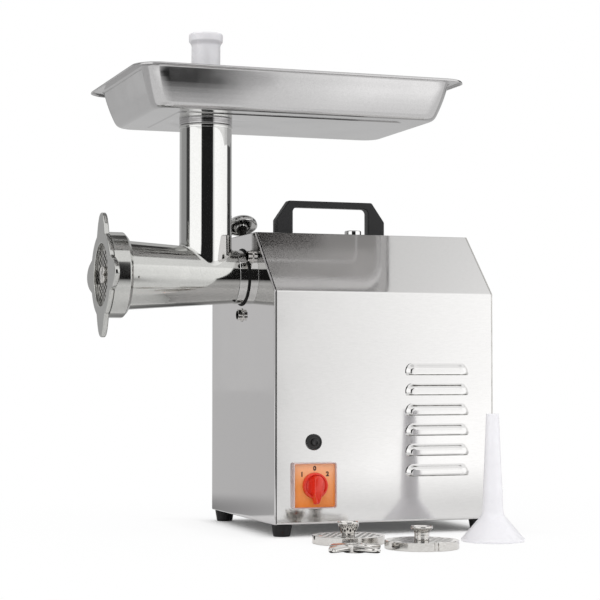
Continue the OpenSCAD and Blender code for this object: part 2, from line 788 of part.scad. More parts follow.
module run_capacitor() color("whitesmoke") translate([cap_x, cap_y, cap_z]) {
    rod(0, cap_l, cap_r);
    for (k = [-1, 1]) translate([0, k * cap_tag_gap, 0]) rod(-cap_tag_l, 0.01, cap_tag_r);
}
module capacitor_clamp() color("silver") translate([cap_x + clamp_in, cap_y, 0]) difference() {
    union() {
        translate([0, 0, cap_z]) rod(0, clamp_l, cap_r + clamp_t);
        block(0, clamp_l, -cap_r - clamp_foot, 0, base_top, base_top + clamp_t);
    }
    translate([0, 0, cap_z]) rod(-1, clamp_l + 1, cap_r);
}
module on_switch() {
    translate([control_x, -body_w / 2, switch_z]) rotate([90, 0, 0]) children();
}
// local Z points out of the control side
frame_t = 6;
plate_thick = 3;
knob_gap = 0.4;
module square_plate(w, z0, z1, r = 3) {
    translate([0, 0, z0]) linear_extrude(z1 - z0) polygon(round_rect(w, w, r, 6));
}
switch_body_w = 42;
switch_body_l = 46;
switch_neck_w = 33;                          // the part that passes through the sheet
switch_pin_r = 3.5;
terminal_l = 6;
terminal_r = 3;
module switch_body() color([0.2, 0.2, 0.2]) on_switch() {
    square_plate(switch_body_w, -sheet_t - switch_body_l, -sheet_t, 2);
    square_plate(switch_neck_w, -sheet_t - 0.01, 0, 1);
    cylinder(h = plate_thick + 5, r = switch_pin_r);
    for (s = [-12, 12], k = [-14, 14])
        translate([s, k, -sheet_t - switch_body_l - terminal_l])
            cylinder(h = terminal_l + 0.01, r = terminal_r);
}
module switch_plate() color("orangered") on_switch() difference() {
    square_plate(switch_plate_w, 0, plate_thick, 1.4);
    translate([0, 0, -1]) cylinder(h = 10, r = switch_pin_r + knob_gap);
}
module switch_frame() color([0.9, 0.9, 0.92]) on_switch() difference() {
    square_plate(switch_frame_w, 0, frame_t, 2.4);
    square_plate(switch_plate_w + 0.2, -1, frame_t + 1, 1.5);
}
knob_skirt_t = 4.5;
knob_top = 13.5;
bar_r = 6.3;                                 // half the width of the grip bar
bar_head = 9;                                // from the axis to the centre of the bar's round end
bar_tail = 18.5;
module switch_knob() color("crimson") on_switch() translate([0, 0, plate_thick + knob_gap]) difference() {
    union() {
        cylinder(h = knob_skirt_t, r1 = knob_d / 2, r2 = knob_d / 2 - 1);
        // grip bar with a pointed tail
        linear_extrude(knob_top) polygon(concat(
            [for (i = [0 : 8]) let (a = 180 * i / 8) [bar_r * cos(a), bar_head + 5.5 * sin(a)]],
            [[-bar_r, -9], [-1.6, -bar_tail], [1.6, -bar_tail], [bar_r, -9]]));
    }
    translate([0, 0, -1]) cylinder(h = 7, r = switch_pin_r + run);
}
module on_breaker() {
    translate([control_x, -body_w / 2, breaker_z]) rotate([90, 0, 0]) children();
}
breaker_l = 34;                              // depth of the breaker's case behind the sheet
breaker_w = 16;
breaker_h = 30;
breaker_neck_r = 6;                          // threaded neck that holds the breaker
nut_flat = 2;
nut_bevel = 1;
button_r = 3.6;
button_bevel = 0.8;
button_in = 12;                              // how far the button reaches into the case
button_rest = 0.8;                           // how far the button stands out when pushed in
button_out = nut_flat + nut_bevel + button_travel + button_rest;
module breaker_body() color([0.15, 0.15, 0.15]) on_breaker() difference() {
    union() {
        translate([-breaker_w / 2, -breaker_h / 2, -sheet_t - breaker_l])
            cube([breaker_w, breaker_h, breaker_l]);
        translate([0, 0, -sheet_t - 0.01]) cylinder(h = sheet_t + nut_flat + 0.8, r = breaker_neck_r);
        for (s = [-1, 1])
            translate([-3, s * 9 - 0.5, -sheet_t - breaker_l - 8]) cube([6, 1, 8.01]);
    }
    translate([0, 0, -button_in - 8]) cylinder(h = breaker_l, r = button_r + 0.1);
}
module breaker_nut() color([0.1, 0.1, 0.1]) on_breaker() difference() {
    union() {
        cylinder(h = nut_flat, r = breaker_nut_d / 2);
        translate([0, 0, nut_flat - 0.01])
            cylinder(h = nut_bevel, r1 = breaker_nut_d / 2, r2 = breaker_nut_d / 2 - 1);
    }
    translate([0, 0, -1]) cylinder(h = 9, r = breaker_neck_r + run);
}
module reset_button() color([0.1, 0.1, 0.1]) on_breaker() {
    translate([0, 0, -button_in])
        cylinder(h = button_in + button_out - button_bevel, r = button_r);
    translate([0, 0, button_out - button_bevel - 0.01])
        cylinder(h = button_bevel + 0.01, r1 = button_r, r2 = button_r - button_bevel);
}
gland_r = 8;
gland_bore_r = 4.6;
gland_at = [60, 40];
module gland_place() {
    translate([rear_x, gland_at[0], gland_at[1]]) children();
}
module cable_gland() color([0.12, 0.12, 0.12]) gland_place() difference() {
    union() {
        rod(-14, 0.01, gland_r);
        translate([0, 0, 0]) rotate([0, 90, 0]) cylinder(h = 6, r = 12, $fn = 6);
        rod(5.99, 16, 10.4);
        rod(15.99, 22, 10.4, 6.6);
    }
    rod(-20, 30, gland_bore_r);
}
module gland_nut() color([0.12, 0.12, 0.12]) gland_place() difference() {
    translate([-panel_t - 5, 0, 0]) rotate([0, 90, 0]) cylinder(h = 5, r = 12, $fn = 6);
    rod(-20, 5, gland_r + run);
}

// ---- lock knob ----

// local Z runs from the head's axis through the roof, leaning away from the control side
module lock_axis() {
    translate([lock_x, 0, axis_z]) rotate([-lock_lean, 0, 0]) children();
}
lock_low = spigot_r + gap;
module lock_knob() color("silver") lock_axis() {
    translate([0, 0, lock_low]) cylinder(h = lock_reach - lock_low, r = stud_r);
    translate([0, 0, lock_reach - lock_boss_l]) cylinder(h = lock_boss_l + lock_rim, r = lock_boss_r);
    // a dome with a straight rim, hollow round its boss
    translate([0, 0, lock_reach]) rotate_extrude() difference() {
        polygon(concat([[0, 0], [lock_d / 2, 0]],
            [for (i = [0 : 12]) let (a = 90 * i / 12)
                [lock_d / 2 * cos(a), lock_rim + lock_dome * sin(a)]]));
        translate([lock_boss_r - 0.5, -1]) square([lock_d / 2 - lock_lip - lock_boss_r + 0.5, lock_rim + 1]);
    }
}

// ---- grinding head ----

module feed_place() {
    translate([tube_x, 0, axis_z]) children();
}
// the space inside the barrel, with the plate's recess, the key's seat and the tail bores
module chamber() on_axis() {
    rod(barrel_front - 1, plate_back, recess_r);
    rod(plate_back - 0.01, thread_back, bore_front_r);
    rod(thread_back - 0.01, chamber_back, bore_front_r, bore_rear_r);
    rod(chamber_back - 0.01, bush_end, bush_r);
    rod(bush_end - 0.01, spigot_end + 1, coupling_r + 1.5);
    translate([0, 0, recess_r]) rod(barrel_front - 1, plate_back, 2);
}
module barrel() color("silver") difference() {
    union() {
        on_axis() {
            rod(barrel_front, thread_back, thread_r);
            rod(thread_back - 0.01, shoulder_x, front_r, tail_r);
            rod(shoulder_x - 0.01, spigot_end, spigot_r);
        }
        feed_place() cylinder(h = tube_top - axis_z, r = tube_r);
        translate([tube_x, 0, tube_top - bead_h]) cylinder(h = bead_h, r = tube_r + 0.7);
    }
    feed_place() cylinder(h = tube_top, r = tube_in);
    chamber();
}
module plate_key() color("silver") on_axis() translate([0, 0, recess_r])
    rod(barrel_front + 0.6, plate_back, 2);
module tail_bush() color("goldenrod") on_axis()
    tube(chamber_back, bush_end, bush_r, tail_pin_r + run);

// one turn of the flight every flight_pitch; its edge is a rounded ridge
flight_pitch = 29;
module auger() color("silver") {
    around = 28;
    along = 80;
    core_front = 13;
    core_rear = 15;
    length = auger_back - auger_front;
    ridge = [for (k = [0 : along], i = [0 : around - 1])
        let (x = auger_front + length * k / along,
             a = 360 * i / around,
             turn = 360 * (x - tube_x + 15) / flight_pitch + 90 - a,
             wave = pow((1 + cos(turn)) / 2, 5),
             core = core_front + (core_rear - core_front) * k / along,
             r = core + (auger_r(x) - core) * wave)
        [x, r * cos(a), axis_z + r * sin(a)]];
    skin = [for (k = [0 : along - 1], i = [0 : around - 1])
        let (j = (i + 1) % around)
        each [[k * around + i, (k + 1) * around + j, k * around + j],
              [k * around + i, (k + 1) * around + i, (k + 1) * around + j]]];
    caps = [[for (i = [0 : around - 1]) i],
            [for (i = [around - 1 : -1 : 0]) along * around + i]];
    difference() {
        polyhedron(points = ridge, faces = concat(skin, caps));
        on_axis() rod(auger_front - 1, auger_back + 1, 6);
    }
}
module auger_shaft() color("silver") on_axis() {
    rod(barrel_front + 0.5, plate_back + 0.3, nose_r);
    block(plate_back + 0.29, auger_front, -knife_square / 2, knife_square / 2,
          -knife_square / 2, knife_square / 2);
    rod(auger_front - 0.01, auger_back, 6);
    rod(auger_back, bush_end, tail_pin_r);
    block(bush_end - 0.01, square_end, -square / 2, square / 2, -square / 2, square / 2);
}
// four curved blades on a square hub
module knife_blades(r, t) {
    difference() {
        union() {
            cylinder(h = t, r = 11);
            for (a = [0 : 90 : 270])
                rotate([0, 0, a]) linear_extrude(t) polygon([
                    [4, -9], [r * 0.62, -7], [r * 0.985, -1.5], [r * 0.98, 2], [8, 5]]);
        }
        translate([-knife_square / 2 - 0.1, -knife_square / 2 - 0.1, -1])
            cube([knife_square + 0.2, knife_square + 0.2, t + 2]);
    }
}
module cross_knife() color("silver") on_axis()
    translate([plate_back + 0.2, 0, 0]) rotate([0, 90, 0])
        knife_blades(bore_front_r - 1.2, knife_t);
// rows of holes in a plate: a hexagonal grid between the hub and the rim
hole_pitch = 6.6;
module plate_disc(t) {
    difference() {
        cylinder(h = t, r = plate_d / 2);
        for (i = [-5 : 5], j = [-5 : 5])
            let (p = [hole_pitch * (i + j / 2), hole_pitch * j * sqrt(3) / 2])
                if (norm(p) > 9.5 && norm(p) < opening_d / 2 - plate_hole_d / 2 - 0.8)
                    translate([p[0], p[1], -1]) cylinder(h = t + 2, r = plate_hole_d / 2, $fn = 24);
        translate([0, 0, -1]) cylinder(h = t + 2, r = nose_r + run);
        translate([-recess_r, 0, -1]) cylinder(h = t + 2, r = 2.4);
    }
}
module cutting_plate() color("silver") on_axis()
    translate([plate_front, 0, 0]) rotate([0, 90, 0]) plate_disc(plate_t);
// outline of the star flange: four tips with hollow sides between them
function star_r(a) = star_valley + (star_tip - star_valley) * pow(pow(cos(2 * a), 2), 2.2);
module retaining_ring() color("silver") on_axis() difference() {
    union() {
        along_x(ring_front, ring_front + star_t)
            polygon([for (i = [0 : 143]) let (a = 2.5 * i) star_r(a) * [cos(a), sin(a)]]);
        rod(ring_front + 0.01, thread_back - 3.5, ring_d / 2);
        rod(thread_back - 3.51, thread_back - 0.2, ring_d / 2, ring_d / 2 - 3.3);
    }
    rod(ring_front - 1, thread_back, opening_d / 2);
    rod(plate_front - gap, thread_back + 1, ring_in_r);
}

// ---- tray and pusher ----

module pan(grow, z0, z1) {
    hull() {
        translate([0, 0, z0]) linear_extrude(0.01)
            polygon(round_rect(tray_l - 2 * (tray_rim + tray_flare) + 2 * grow,
                               tray_w - 2 * (tray_rim + tray_flare) + 2 * grow,
                               tray_corner - 8 + grow));
        translate([0, 0, z1]) linear_extrude(0.01)
            polygon(round_rect(tray_l - 2 * tray_rim + 2 * grow,
                               tray_w - 2 * tray_rim + 2 * grow, tray_corner - 4 + grow));
    }
}
module tray() color("gainsboro") difference() {
    union() {
        translate([tray_x, 0, tray_z]) {
            difference() {
                union() {
                    pan(0, 0, tray_h);
                    translate([0, 0, tray_h - tray_t]) linear_extrude(tray_t)
                        polygon(round_rect(tray_l, tray_w, tray_corner));
                }
                pan(-tray_t, tray_t, tray_h + 0.1);
            }
        }
        translate([tube_x, 0, tray_z]) {
            translate([0, 0, tube_top + gap - tray_z])
                cylinder(h = tray_z - tube_top - gap + 0.2, r = tube_r + 0.4);
            translate([0, 0, -tray_spigot_l]) cylinder(h = tray_spigot_l + 0.2, r = tray_in);
        }
    }
    translate([tube_x, 0, tray_z - tray_spigot_l - 1])
        cylinder(h = tray_spigot_l + 20, r = tray_in - tray_spigot_t);
}
module pusher() color([0.93, 0.93, 0.95]) translate([tube_x, 0, pusher_low]) {
    r = pusher_d / 2;
    foot_r = pusher_foot_d / 2;
    rotate_extrude() polygon([
        [0, 0], [foot_r - 1, 0], [foot_r, 1], [foot_r, 9], [r, 16], [r, pusher_l - 12],
        [r + pusher_lip - 0.8, pusher_l - 8], [r + pusher_lip, pusher_l - 6],
        [r + pusher_lip - 1, pusher_l - 1], [r + 1, pusher_l],
        [r - pusher_wall, pusher_l], [r - pusher_wall, 18], [0, 18]]);
}

// ---- spare parts ----

// a loose plate with a flared knob standing on its middle
module hub_plate() {
    plate_disc(plate_t);
    translate([0, 0, plate_t + hub_gap]) difference() {
        union() {
            cylinder(h = hub_h * 0.25, r = hub_waist_r + 1);
            translate([0, 0, hub_h * 0.25 - 0.01])
                cylinder(h = hub_h * 0.6, r1 = hub_waist_r, r2 = hub_top_r);
            translate([0, 0, hub_h * 0.85 - 0.02])
                cylinder(h = hub_h * 0.15 + 0.02, r = hub_top_r);
        }
        translate([0, 0, -1]) cylinder(h = hub_h + 2, r = nose_r + run);
    }
}
module spare_plate_a() color("silver") translate(plate_a_at) hub_plate();
module spare_plate_b() color("silver") translate(plate_b_at) rotate(90) hub_plate();
module spare_knife() color("silver") translate(knife_at) rotate(20)
    knife_blades(bore_front_r - 1.2, knife_t);
module stuffing_funnel() color([0.93, 0.93, 0.95]) translate(funnel_at) {
    r = funnel_d / 2;
    wall = 1.6;
    foot = 3;
    cone = 26;
    waist = 10.5;
    mouth = 6.2;
    rotate_extrude() polygon([
        [r - wall - 0.8, 0], [r, 0], [r, foot], [r - 0.8, foot], [waist, cone],
        [mouth, funnel_h], [mouth - wall, funnel_h], [waist - wall, cone - 1],
        [r - wall - 0.8, foot]]);
}

body_shell();
front_panel();
rear_panel();
base_plate();
panel_screws();
foot_place(-1, 1) foot();  // foot_front_left
foot_place(-1, -1) foot();  // foot_front_right
foot_place(1, 1) foot();  // foot_rear_left
foot_place(1, -1) foot();  // foot_rear_right
foot_screws();
top_handle();
handle_screws();
roof_plug();
neck_socket();
neck_gasket();
flange_bolts();
gearbox_front();
gearbox_rear();
gearbox_bolts();
shaft_seal();
ball_bearings();
output_shaft();
output_gear();
middle_gear();
motor_frame();
motor_front_bell();
motor_rear_bell();
stator_core();
stator_windings();
rotor_shaft();
rotor_core();
motor_pinion();
cooling_fan();
motor_cradle();
run_capacitor();
capacitor_clamp();
switch_body();
switch_plate();
switch_frame();
switch_knob();
breaker_body();
breaker_nut();
reset_button();
cable_gland();
gland_nut();
lock_knob();
barrel();
plate_key();
tail_bush();
auger();
auger_shaft();
cross_knife();
cutting_plate();
retaining_ring();
tray();
pusher();
spare_plate_a();
spare_plate_b();
spare_knife();
stuffing_funnel();
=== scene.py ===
import math

import bmesh
import bpy
import numpy as np
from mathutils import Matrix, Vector
from mathutils.geometry import delaunay_2d_cdt


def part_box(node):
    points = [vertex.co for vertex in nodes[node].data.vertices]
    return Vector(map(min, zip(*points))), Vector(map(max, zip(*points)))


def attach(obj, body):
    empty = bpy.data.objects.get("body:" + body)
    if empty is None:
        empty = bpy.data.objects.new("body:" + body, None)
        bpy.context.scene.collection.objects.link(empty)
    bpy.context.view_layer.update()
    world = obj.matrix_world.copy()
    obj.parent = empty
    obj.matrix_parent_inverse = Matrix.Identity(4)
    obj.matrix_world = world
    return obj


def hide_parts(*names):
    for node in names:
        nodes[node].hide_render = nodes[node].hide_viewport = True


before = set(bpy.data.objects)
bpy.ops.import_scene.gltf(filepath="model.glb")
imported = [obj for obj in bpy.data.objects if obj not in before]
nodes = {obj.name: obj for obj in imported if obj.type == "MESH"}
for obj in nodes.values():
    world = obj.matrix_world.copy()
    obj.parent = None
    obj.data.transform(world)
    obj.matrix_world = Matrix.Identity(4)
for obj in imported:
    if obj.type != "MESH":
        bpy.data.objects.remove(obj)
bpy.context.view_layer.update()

mm = 0.001  # every size below is in millimetres, a mesh is in metres
whole = 2 * math.pi


def corners(name):  # lowest and highest corner of a CAD node, in millimetres
    return [np.array(c, float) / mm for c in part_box(name)]


def unit(v):
    v = np.asarray(v, float)
    return v / np.linalg.norm(v, axis=-1, keepdims=True)


# a place is an origin and the directions of its own x, y and z
def placeAt(origin, xDir=(1, 0, 0), yDir=(0, 1, 0), zDir=(0, 0, 1)):
    return np.array(origin, float), np.array([xDir, yDir, zDir], float)


def turned(origin, degrees):  # a place on the floor, turned about the vertical
    c, s = math.cos(math.radians(degrees)), math.sin(math.radians(degrees))
    return placeAt(origin, (c, s, 0), (-s, c, 0))


# origin + x times its x direction + y times its y direction + z times its z direction
def put(points, place):
    return place[0] + np.asarray(points, float) @ place[1]


atOrigin = placeAt((0, 0, 0))


# every corner of a path becomes an arc that leaves the sides r / tan(half the corner's angle) from the corner
def roundPath(points, radii, steps=6, closed=False):
    pts = np.asarray(points, float)
    out = []
    for i, p in enumerate(pts):
        r = radii[i] if hasattr(radii, "__len__") else radii
        if r <= 0 or (not closed and i in (0, len(pts) - 1)):
            out.append(p[None])
            continue
        a, b = unit(pts[i - 1] - p), unit(pts[(i + 1) % len(pts)] - p)
        half = math.acos(np.clip(a @ b, -1, 1)) / 2
        centre = p + unit(a + b) * r / math.sin(half)
        u, v = p + a * r / math.tan(half) - centre, p + b * r / math.tan(half) - centre
        sweep = math.pi - 2 * half
        s = np.linspace(0, 1, steps + 1)[:, None]
        out.append(centre + (np.sin((1 - s) * sweep) * u + np.sin(s * sweep) * v) / math.sin(sweep))
    return np.concatenate(out)


def refine(path, step, closed=False):  # straight runs get more points, none further apart than step
    ends = np.roll(path, -1, 0) if closed else path[1:]
    starts = path if closed else path[:-1]
    out = []
    for a, b in zip(starts, ends):
        n = max(1, math.ceil(np.linalg.norm(b - a) / step - 1e-9))
        out.append(a + (b - a) * np.arange(n)[:, None] / n)
    if not closed:
        out.append(path[-1:])
    return np.concatenate(out)


# points just inside both ends of every long run, so that shading bends only at the corners: a mirror shows
# any bend in a run that should be flat
def held(path, gap=0.3, closed=False):
    path = np.asarray(path, float)
    ends = np.roll(path, -1, 0) if closed else path[1:]
    starts = path if closed else path[:-1]
    out = []
    for a, b in zip(starts, ends):
        long = np.linalg.norm(b - a)
        out.append(a[None])
        if long > 4 * gap:
            out.append(np.array([a + (b - a) * gap / long, b + (a - b) * gap / long]))
    if not closed:
        out.append(path[-1:])
    return np.concatenate(out)


# rows of points joined by quads: point (i, j) meets (i, j+1), (i+1, j+1) and (i+1, j)
def surface(points, wrapRows=False, wrapCols=False, keep=None):
    points = np.asarray(points, float)
    rows, cols = points.shape[:2]
    i = np.arange(rows if wrapRows else rows - 1)[:, None]
    j = np.arange(cols if wrapCols else cols - 1)[None]
    near, far, right = i * cols, (i + 1) % rows * cols, (j + 1) % cols
    faces = np.stack([near + j, near + right, far + right, far + j], -1).reshape(-1, 4)
    if keep is not None:
        faces = faces[np.asarray(keep).ravel()]
    return points.reshape(-1, 3), faces


# profile of (radius, height) turned round local z: (r cos a, r sin a, h); shape may change r with the angle
def lathe(profile, place=atOrigin, segments=96, shape=None, loop=False):
    profile = held(profile, closed=loop)
    a = np.arange(segments) * whole / segments
    r = profile[:, :1] * np.ones(segments)
    if shape is not None:
        r = shape(r, a[None], profile[:, 1:2])
    h = np.repeat(profile[:, 1:2], segments, 1)
    return surface(put(np.stack([r * np.cos(a), r * np.sin(a), h], -1), place), wrapRows=loop, wrapCols=True)


# keeps a lathe's radius inside a hexagon: r = flats / cos(angle from the nearest flat's middle)
def hexagon(flats):
    return lambda r, a, h: np.minimum(r, flats / np.cos((a + math.pi / 6) % (math.pi / 3) - math.pi / 6))


# outline moved outwards by d: each point goes along the bisector of its two sides, by d / cos(half the bend)
def offsetLoop(loop, d):
    ahead = unit(np.roll(loop, -1, 0) - loop)
    before = unit(loop - np.roll(loop, 1, 0))
    t = unit(ahead + before)
    normal = np.stack([t[:, 1], -t[:, 0]], 1)
    cosHalf = np.clip((ahead * t).sum(1, keepdims=True), 0.35, 1)
    return loop + normal * d / cosHalf


# an outline in local (x, y) carried through steps of (outward offset, height), with flat ends
def slab(outline, steps, place=atOrigin):
    rows = [np.column_stack([offsetLoop(outline, d), np.full(len(outline), h)]) for d, h in steps]
    points, faces = surface(put(np.array(rows), place), wrapCols=True)
    n, last = len(outline), len(points) - len(outline)
    return points, [list(f) for f in faces] + [list(range(n))[::-1], [last + k for k in range(n)]]


def roundRect(l, w, r, n=10):  # corner arcs of radius r, anticlockwise
    a = np.linspace(0, math.pi / 2, n + 1)
    arcs = []
    for k, (sx, sy) in enumerate([(1, 1), (-1, 1), (-1, -1), (1, -1)]):
        arcs.append(np.column_stack([sx * (l / 2 - r) + r * np.cos(a + k * math.pi / 2),
                                     sy * (w / 2 - r) + r * np.sin(a + k * math.pi / 2)]))
    return np.concatenate(arcs)


# quarter circles of radius r at both faces of a slab, as (offset, height) from h0 to h1
def edgeSteps(h0, h1, r, n=4):
    a = np.linspace(0, math.pi / 2, n + 1)
    low = [(-r + r * math.sin(t), h0 + r - r * math.cos(t)) for t in a]
    high = [(-r + r * math.cos(t), h1 - r + r * math.sin(t)) for t in a]
    return low + high


# a grid of points and its copy moved by shift, closed round its rim: a sheet with square edges
def thickened(grid, shift):
    other = grid + np.array(shift, float)
    ends = [surface(np.stack([grid[:, k], other[:, k]])) for k in (0, -1)]
    return joined(surface(np.concatenate([grid, other[::-1]]), wrapRows=True), *ends)


def joined(*parts):
    points, faces, count = [], [], 0
    for p, f in parts:
        points.append(p)
        faces += [[int(k) + count for k in face] for face in f]
        count += len(p)
    return np.concatenate(points), faces


# turns the faces round where their summed normal looks away from a direction
def facing(shape, direction):
    points, faces = shape
    q = points[np.asarray(faces)]
    along = np.cross(q[:, 2] - q[:, 0], q[:, 3] - q[:, 1]).sum(0) @ np.array(direction, float)
    return points, faces if along > 0 else np.asarray(faces)[:, ::-1]


def makePiece(name, shape, body, material, stands=(), sharp=35, outward=True, wall=0, inner=None):
    points, faces = shape
    mesh = bpy.data.meshes.new(name)
    mesh.from_pydata((np.asarray(points) * mm).tolist(), [], [[int(k) for k in f] for f in faces])
    mesh.materials.append(material)
    if inner:  # a second material and the faces that take it
        mesh.materials.append(inner[0])
        mesh.polygons.foreach_set("material_index", np.asarray(inner[1], np.int32))
    bm = bmesh.new()
    bm.from_mesh(mesh)
    bmesh.ops.remove_doubles(bm, verts=bm.verts, dist=2e-6)
    bmesh.ops.dissolve_degenerate(bm, edges=bm.edges, dist=1e-7)
    if outward:
        bmesh.ops.recalc_face_normals(bm, faces=bm.faces)
    bm.to_mesh(mesh)
    bm.free()
    mesh.polygons.foreach_set("use_smooth", np.ones(len(mesh.polygons), bool))
    mesh.set_sharp_from_angle(angle=math.radians(sharp))
    piece = bpy.data.objects.new(name, mesh)
    bpy.context.scene.collection.objects.link(piece)
    if wall:  # thickness of a sheet, inwards from the drawn face
        sheet = piece.modifiers.new("sheet", "SOLIDIFY")
        sheet.thickness, sheet.offset, sheet.use_even_offset = wall * mm, -1, True
    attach(piece, body)
    if stands:
        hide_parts(*stands)
    return piece


def srgb(code):  # "#rrggbb" as linear red, green, blue, alpha
    v = np.array([int(code[i:i + 2], 16) / 255 for i in (1, 3, 5)])
    lin = np.where(v <= 0.04045, v / 12.92, ((v + 0.055) / 1.055) ** 2.4)
    return (*lin.tolist(), 1.0)


# adds a node: a socket takes a value, a "#rrggbb" colour, an output, or a node's first live output; stops
# fill a ramp
def addNode(tree, kind, sockets=None, stops=(), **settings):
    node = tree.nodes.new("ShaderNode" + kind)
    for key, value in settings.items():
        setattr(node, key, value)
    for key, value in (sockets or {}).items():
        if isinstance(value, bpy.types.Node):
            value = next(s for s in value.outputs if s.enabled)
        if isinstance(value, bpy.types.NodeSocket):
            tree.links.new(value, node.inputs[key])
        else:
            node.inputs[key].default_value = srgb(value) if isinstance(value, str) else value
    for k, (at, value) in enumerate(stops):
        mark = node.color_ramp.elements[k] if k < 2 else node.color_ramp.elements.new(at)
        mark.position = at
        mark.color = srgb(value) if isinstance(value, str) else (value, value, value, 1)
    return node


def startMaterial(name):
    material = bpy.data.materials.new(name)
    material.use_nodes = True
    tree = material.node_tree
    tree.nodes.clear()
    return material, tree, addNode(tree, "TexCoord").outputs["Object"]


# Metal in one finish: tool marks of size mm, that much longer along x, y, z, and depth mm deep; haze is how
# much the gloss wanders; wave is (size, depth) of the slow unevenness of thin sheet or hand buffing
def metalFinish(name, light, dark, rough, size, stretch, depth, wave=None, haze=0.03):
    material, tree, at = startMaterial(name)
    along = addNode(tree, "Mapping", {"Vector": at, "Scale": tuple(1 / s for s in stretch)})
    marks = addNode(tree, "TexNoise", {"Vector": along, "Scale": 1000 / size, "Detail": 4.0})
    clouds = addNode(tree, "TexNoise", {"Vector": at, "Scale": 1000 / 45, "Detail": 3.0})
    tone = addNode(tree, "MapRange", {"Value": marks, "From Min": 0.35, "From Max": 0.65})
    base = addNode(tree, "Mix", {0: tone, 6: dark, 7: light}, data_type="RGBA")
    gloss = addNode(tree, "MapRange", {"Value": clouds, "From Min": 0.35, "From Max": 0.65,
                                       "To Min": max(rough - haze, 0.02), "To Max": rough + haze})
    normal = addNode(tree, "Bump", {"Height": marks, "Distance": depth * mm})
    if wave:
        slow = addNode(tree, "TexNoise", {"Vector": at, "Scale": 1000 / wave[0], "Detail": 1.0})
        normal = addNode(tree, "Bump", {"Height": slow, "Distance": wave[1] * mm, "Normal": normal})
    shader = addNode(tree, "BsdfPrincipled", {"Base Color": base, "Metallic": 1.0, "Roughness": gloss,
                                              "Normal": normal})
    addNode(tree, "OutputMaterial", {"Surface": shader})
    return material


# drawn stainless tube, wheel-polished: sharp, bright reflections
polishedTube = metalFinish("polished_drawn_tube", "#dcdcda", "#d4d4d2", 0.06, 1.2, (1, 1, 1), 0.0001,
                           (60, 0.03), 0.02)
# stainless casting, buffed by hand: greyer than the tube, reflections that swim a little where the wheel
# dwelt
buffedCasting = metalFinish("buffed_stainless_casting", "#c6c6c3", "#bcbcb9", 0.08, 1.2, (1, 1, 1), 0.0001,
                            (60, 0.03), 0.02)
# bright annealed stainless sheet, folded: a mirror with a faint haze and the slight waves of thin sheet
foldedSheet = metalFinish("bright_annealed_sheet", "#dddcdb", "#dad9d8", 0.08, 0.8, (6, 1, 1), 0.00003,
                          (130, 0.03), 0.02)
# the same sheet, cut flat for the front: it mirrors the head and the floor
flatSheet = metalFinish("bright_annealed_flat_sheet", "#d3d1d1", "#d0cece", 0.06, 0.8, (1, 1, 6), 0.00003,
                        (120, 0.03), 0.02)
# deep-drawn pan: polished, with soft drawn waves and a slightly milky gloss
drawnSheet = metalFinish("deep_drawn_polished_sheet", "#c8c7c7", "#bfbebe", 0.12, 1.0, (1, 1, 1), 0.0001,
                         (55, 0.22), 0.04)
# belt-ground sheet of the rear panel: short scratches give a dull grey
groundSheet = metalFinish("belt_ground_sheet", "#cfcdca", "#b5b3af", 0.32, 0.6, (1, 1, 12), 0.004,
                          (120, 0.1), 0.04)
# plates, hubs and knives: ground tool steel, buffed bright over fine grinding lines
buffedToolSteel = metalFinish("buffed_tool_steel", "#e3e1de", "#cfccc8", 0.14, 0.6, (10, 1, 1), 0.0012,
                              (25, 0.04))
# blades under the film of oil they are packed in: darker, still glossy
oiledToolSteel = metalFinish("oiled_tool_steel", "#b9b7b3", "#8f8d89", 0.24, 0.4, (12, 1, 1), 0.003)
# rough steel, near black: painted shade inside the drilled holes, on the lock knob's stud and boss and under
# the loose knife's blades
drilledSteel = metalFinish("dark_steel_painted_shade", "#3d3c3a", "#232221", 0.45, 0.3, (1, 1, 1), 0.02)
# turned steel: fine rings of the lathe tool
turnedSteel = metalFinish("turned_steel", "#b0aeab", "#86847f", 0.3, 0.35, (1, 12, 12), 0.004)
# stainless screws, cold-headed: clean bright faces
headedSteel = metalFinish("cold_headed_stainless", "#d9d7d4", "#c6c4c1", 0.14, 0.8, (1, 1, 1), 0.001)
# zinc-plated screws inside: soft bluish grey
zincPlate = metalFinish("zinc_plated_screws", "#c3c8cc", "#9ea4aa", 0.26, 0.8, (1, 1, 1), 0.004)
# chrome plate on a small turned part: dark mirror
chromePlate = metalFinish("chrome_plate", "#e3e3e2", "#dbdbda", 0.05, 1.5, (1, 1, 1), 0.0002)
# pickled steel sheet of brackets and the base: mottled grey
pickledSheet = metalFinish("pickled_steel_sheet", "#a3a29e", "#7c7b77", 0.42, 6, (1, 1, 1), 0.01)
# sand-cast aluminium of the gearbox: grainy, dull
castAluminium = metalFinish("sand_cast_aluminium", "#b4b4b2", "#83837f", 0.5, 1.1, (1, 1, 1), 0.12)
# milled gears, oiled: cutter lines across the teeth
gearSteel = metalFinish("milled_gear_steel", "#a8a6a2", "#6f6d69", 0.3, 0.5, (1, 8, 8), 0.006)
# stamped core sheets: the edges of the stack show as lines across the axis
coreSheets = metalFinish("stacked_core_laminations", "#8c8a86", "#3f3d3a", 0.45, 0.6, (1, 30, 30), 0.03)
# bronze bush, turned
bushBronze = metalFinish("turned_bearing_bronze", "#c79a5b", "#9a7138", 0.32, 0.4, (1, 10, 10), 0.004)


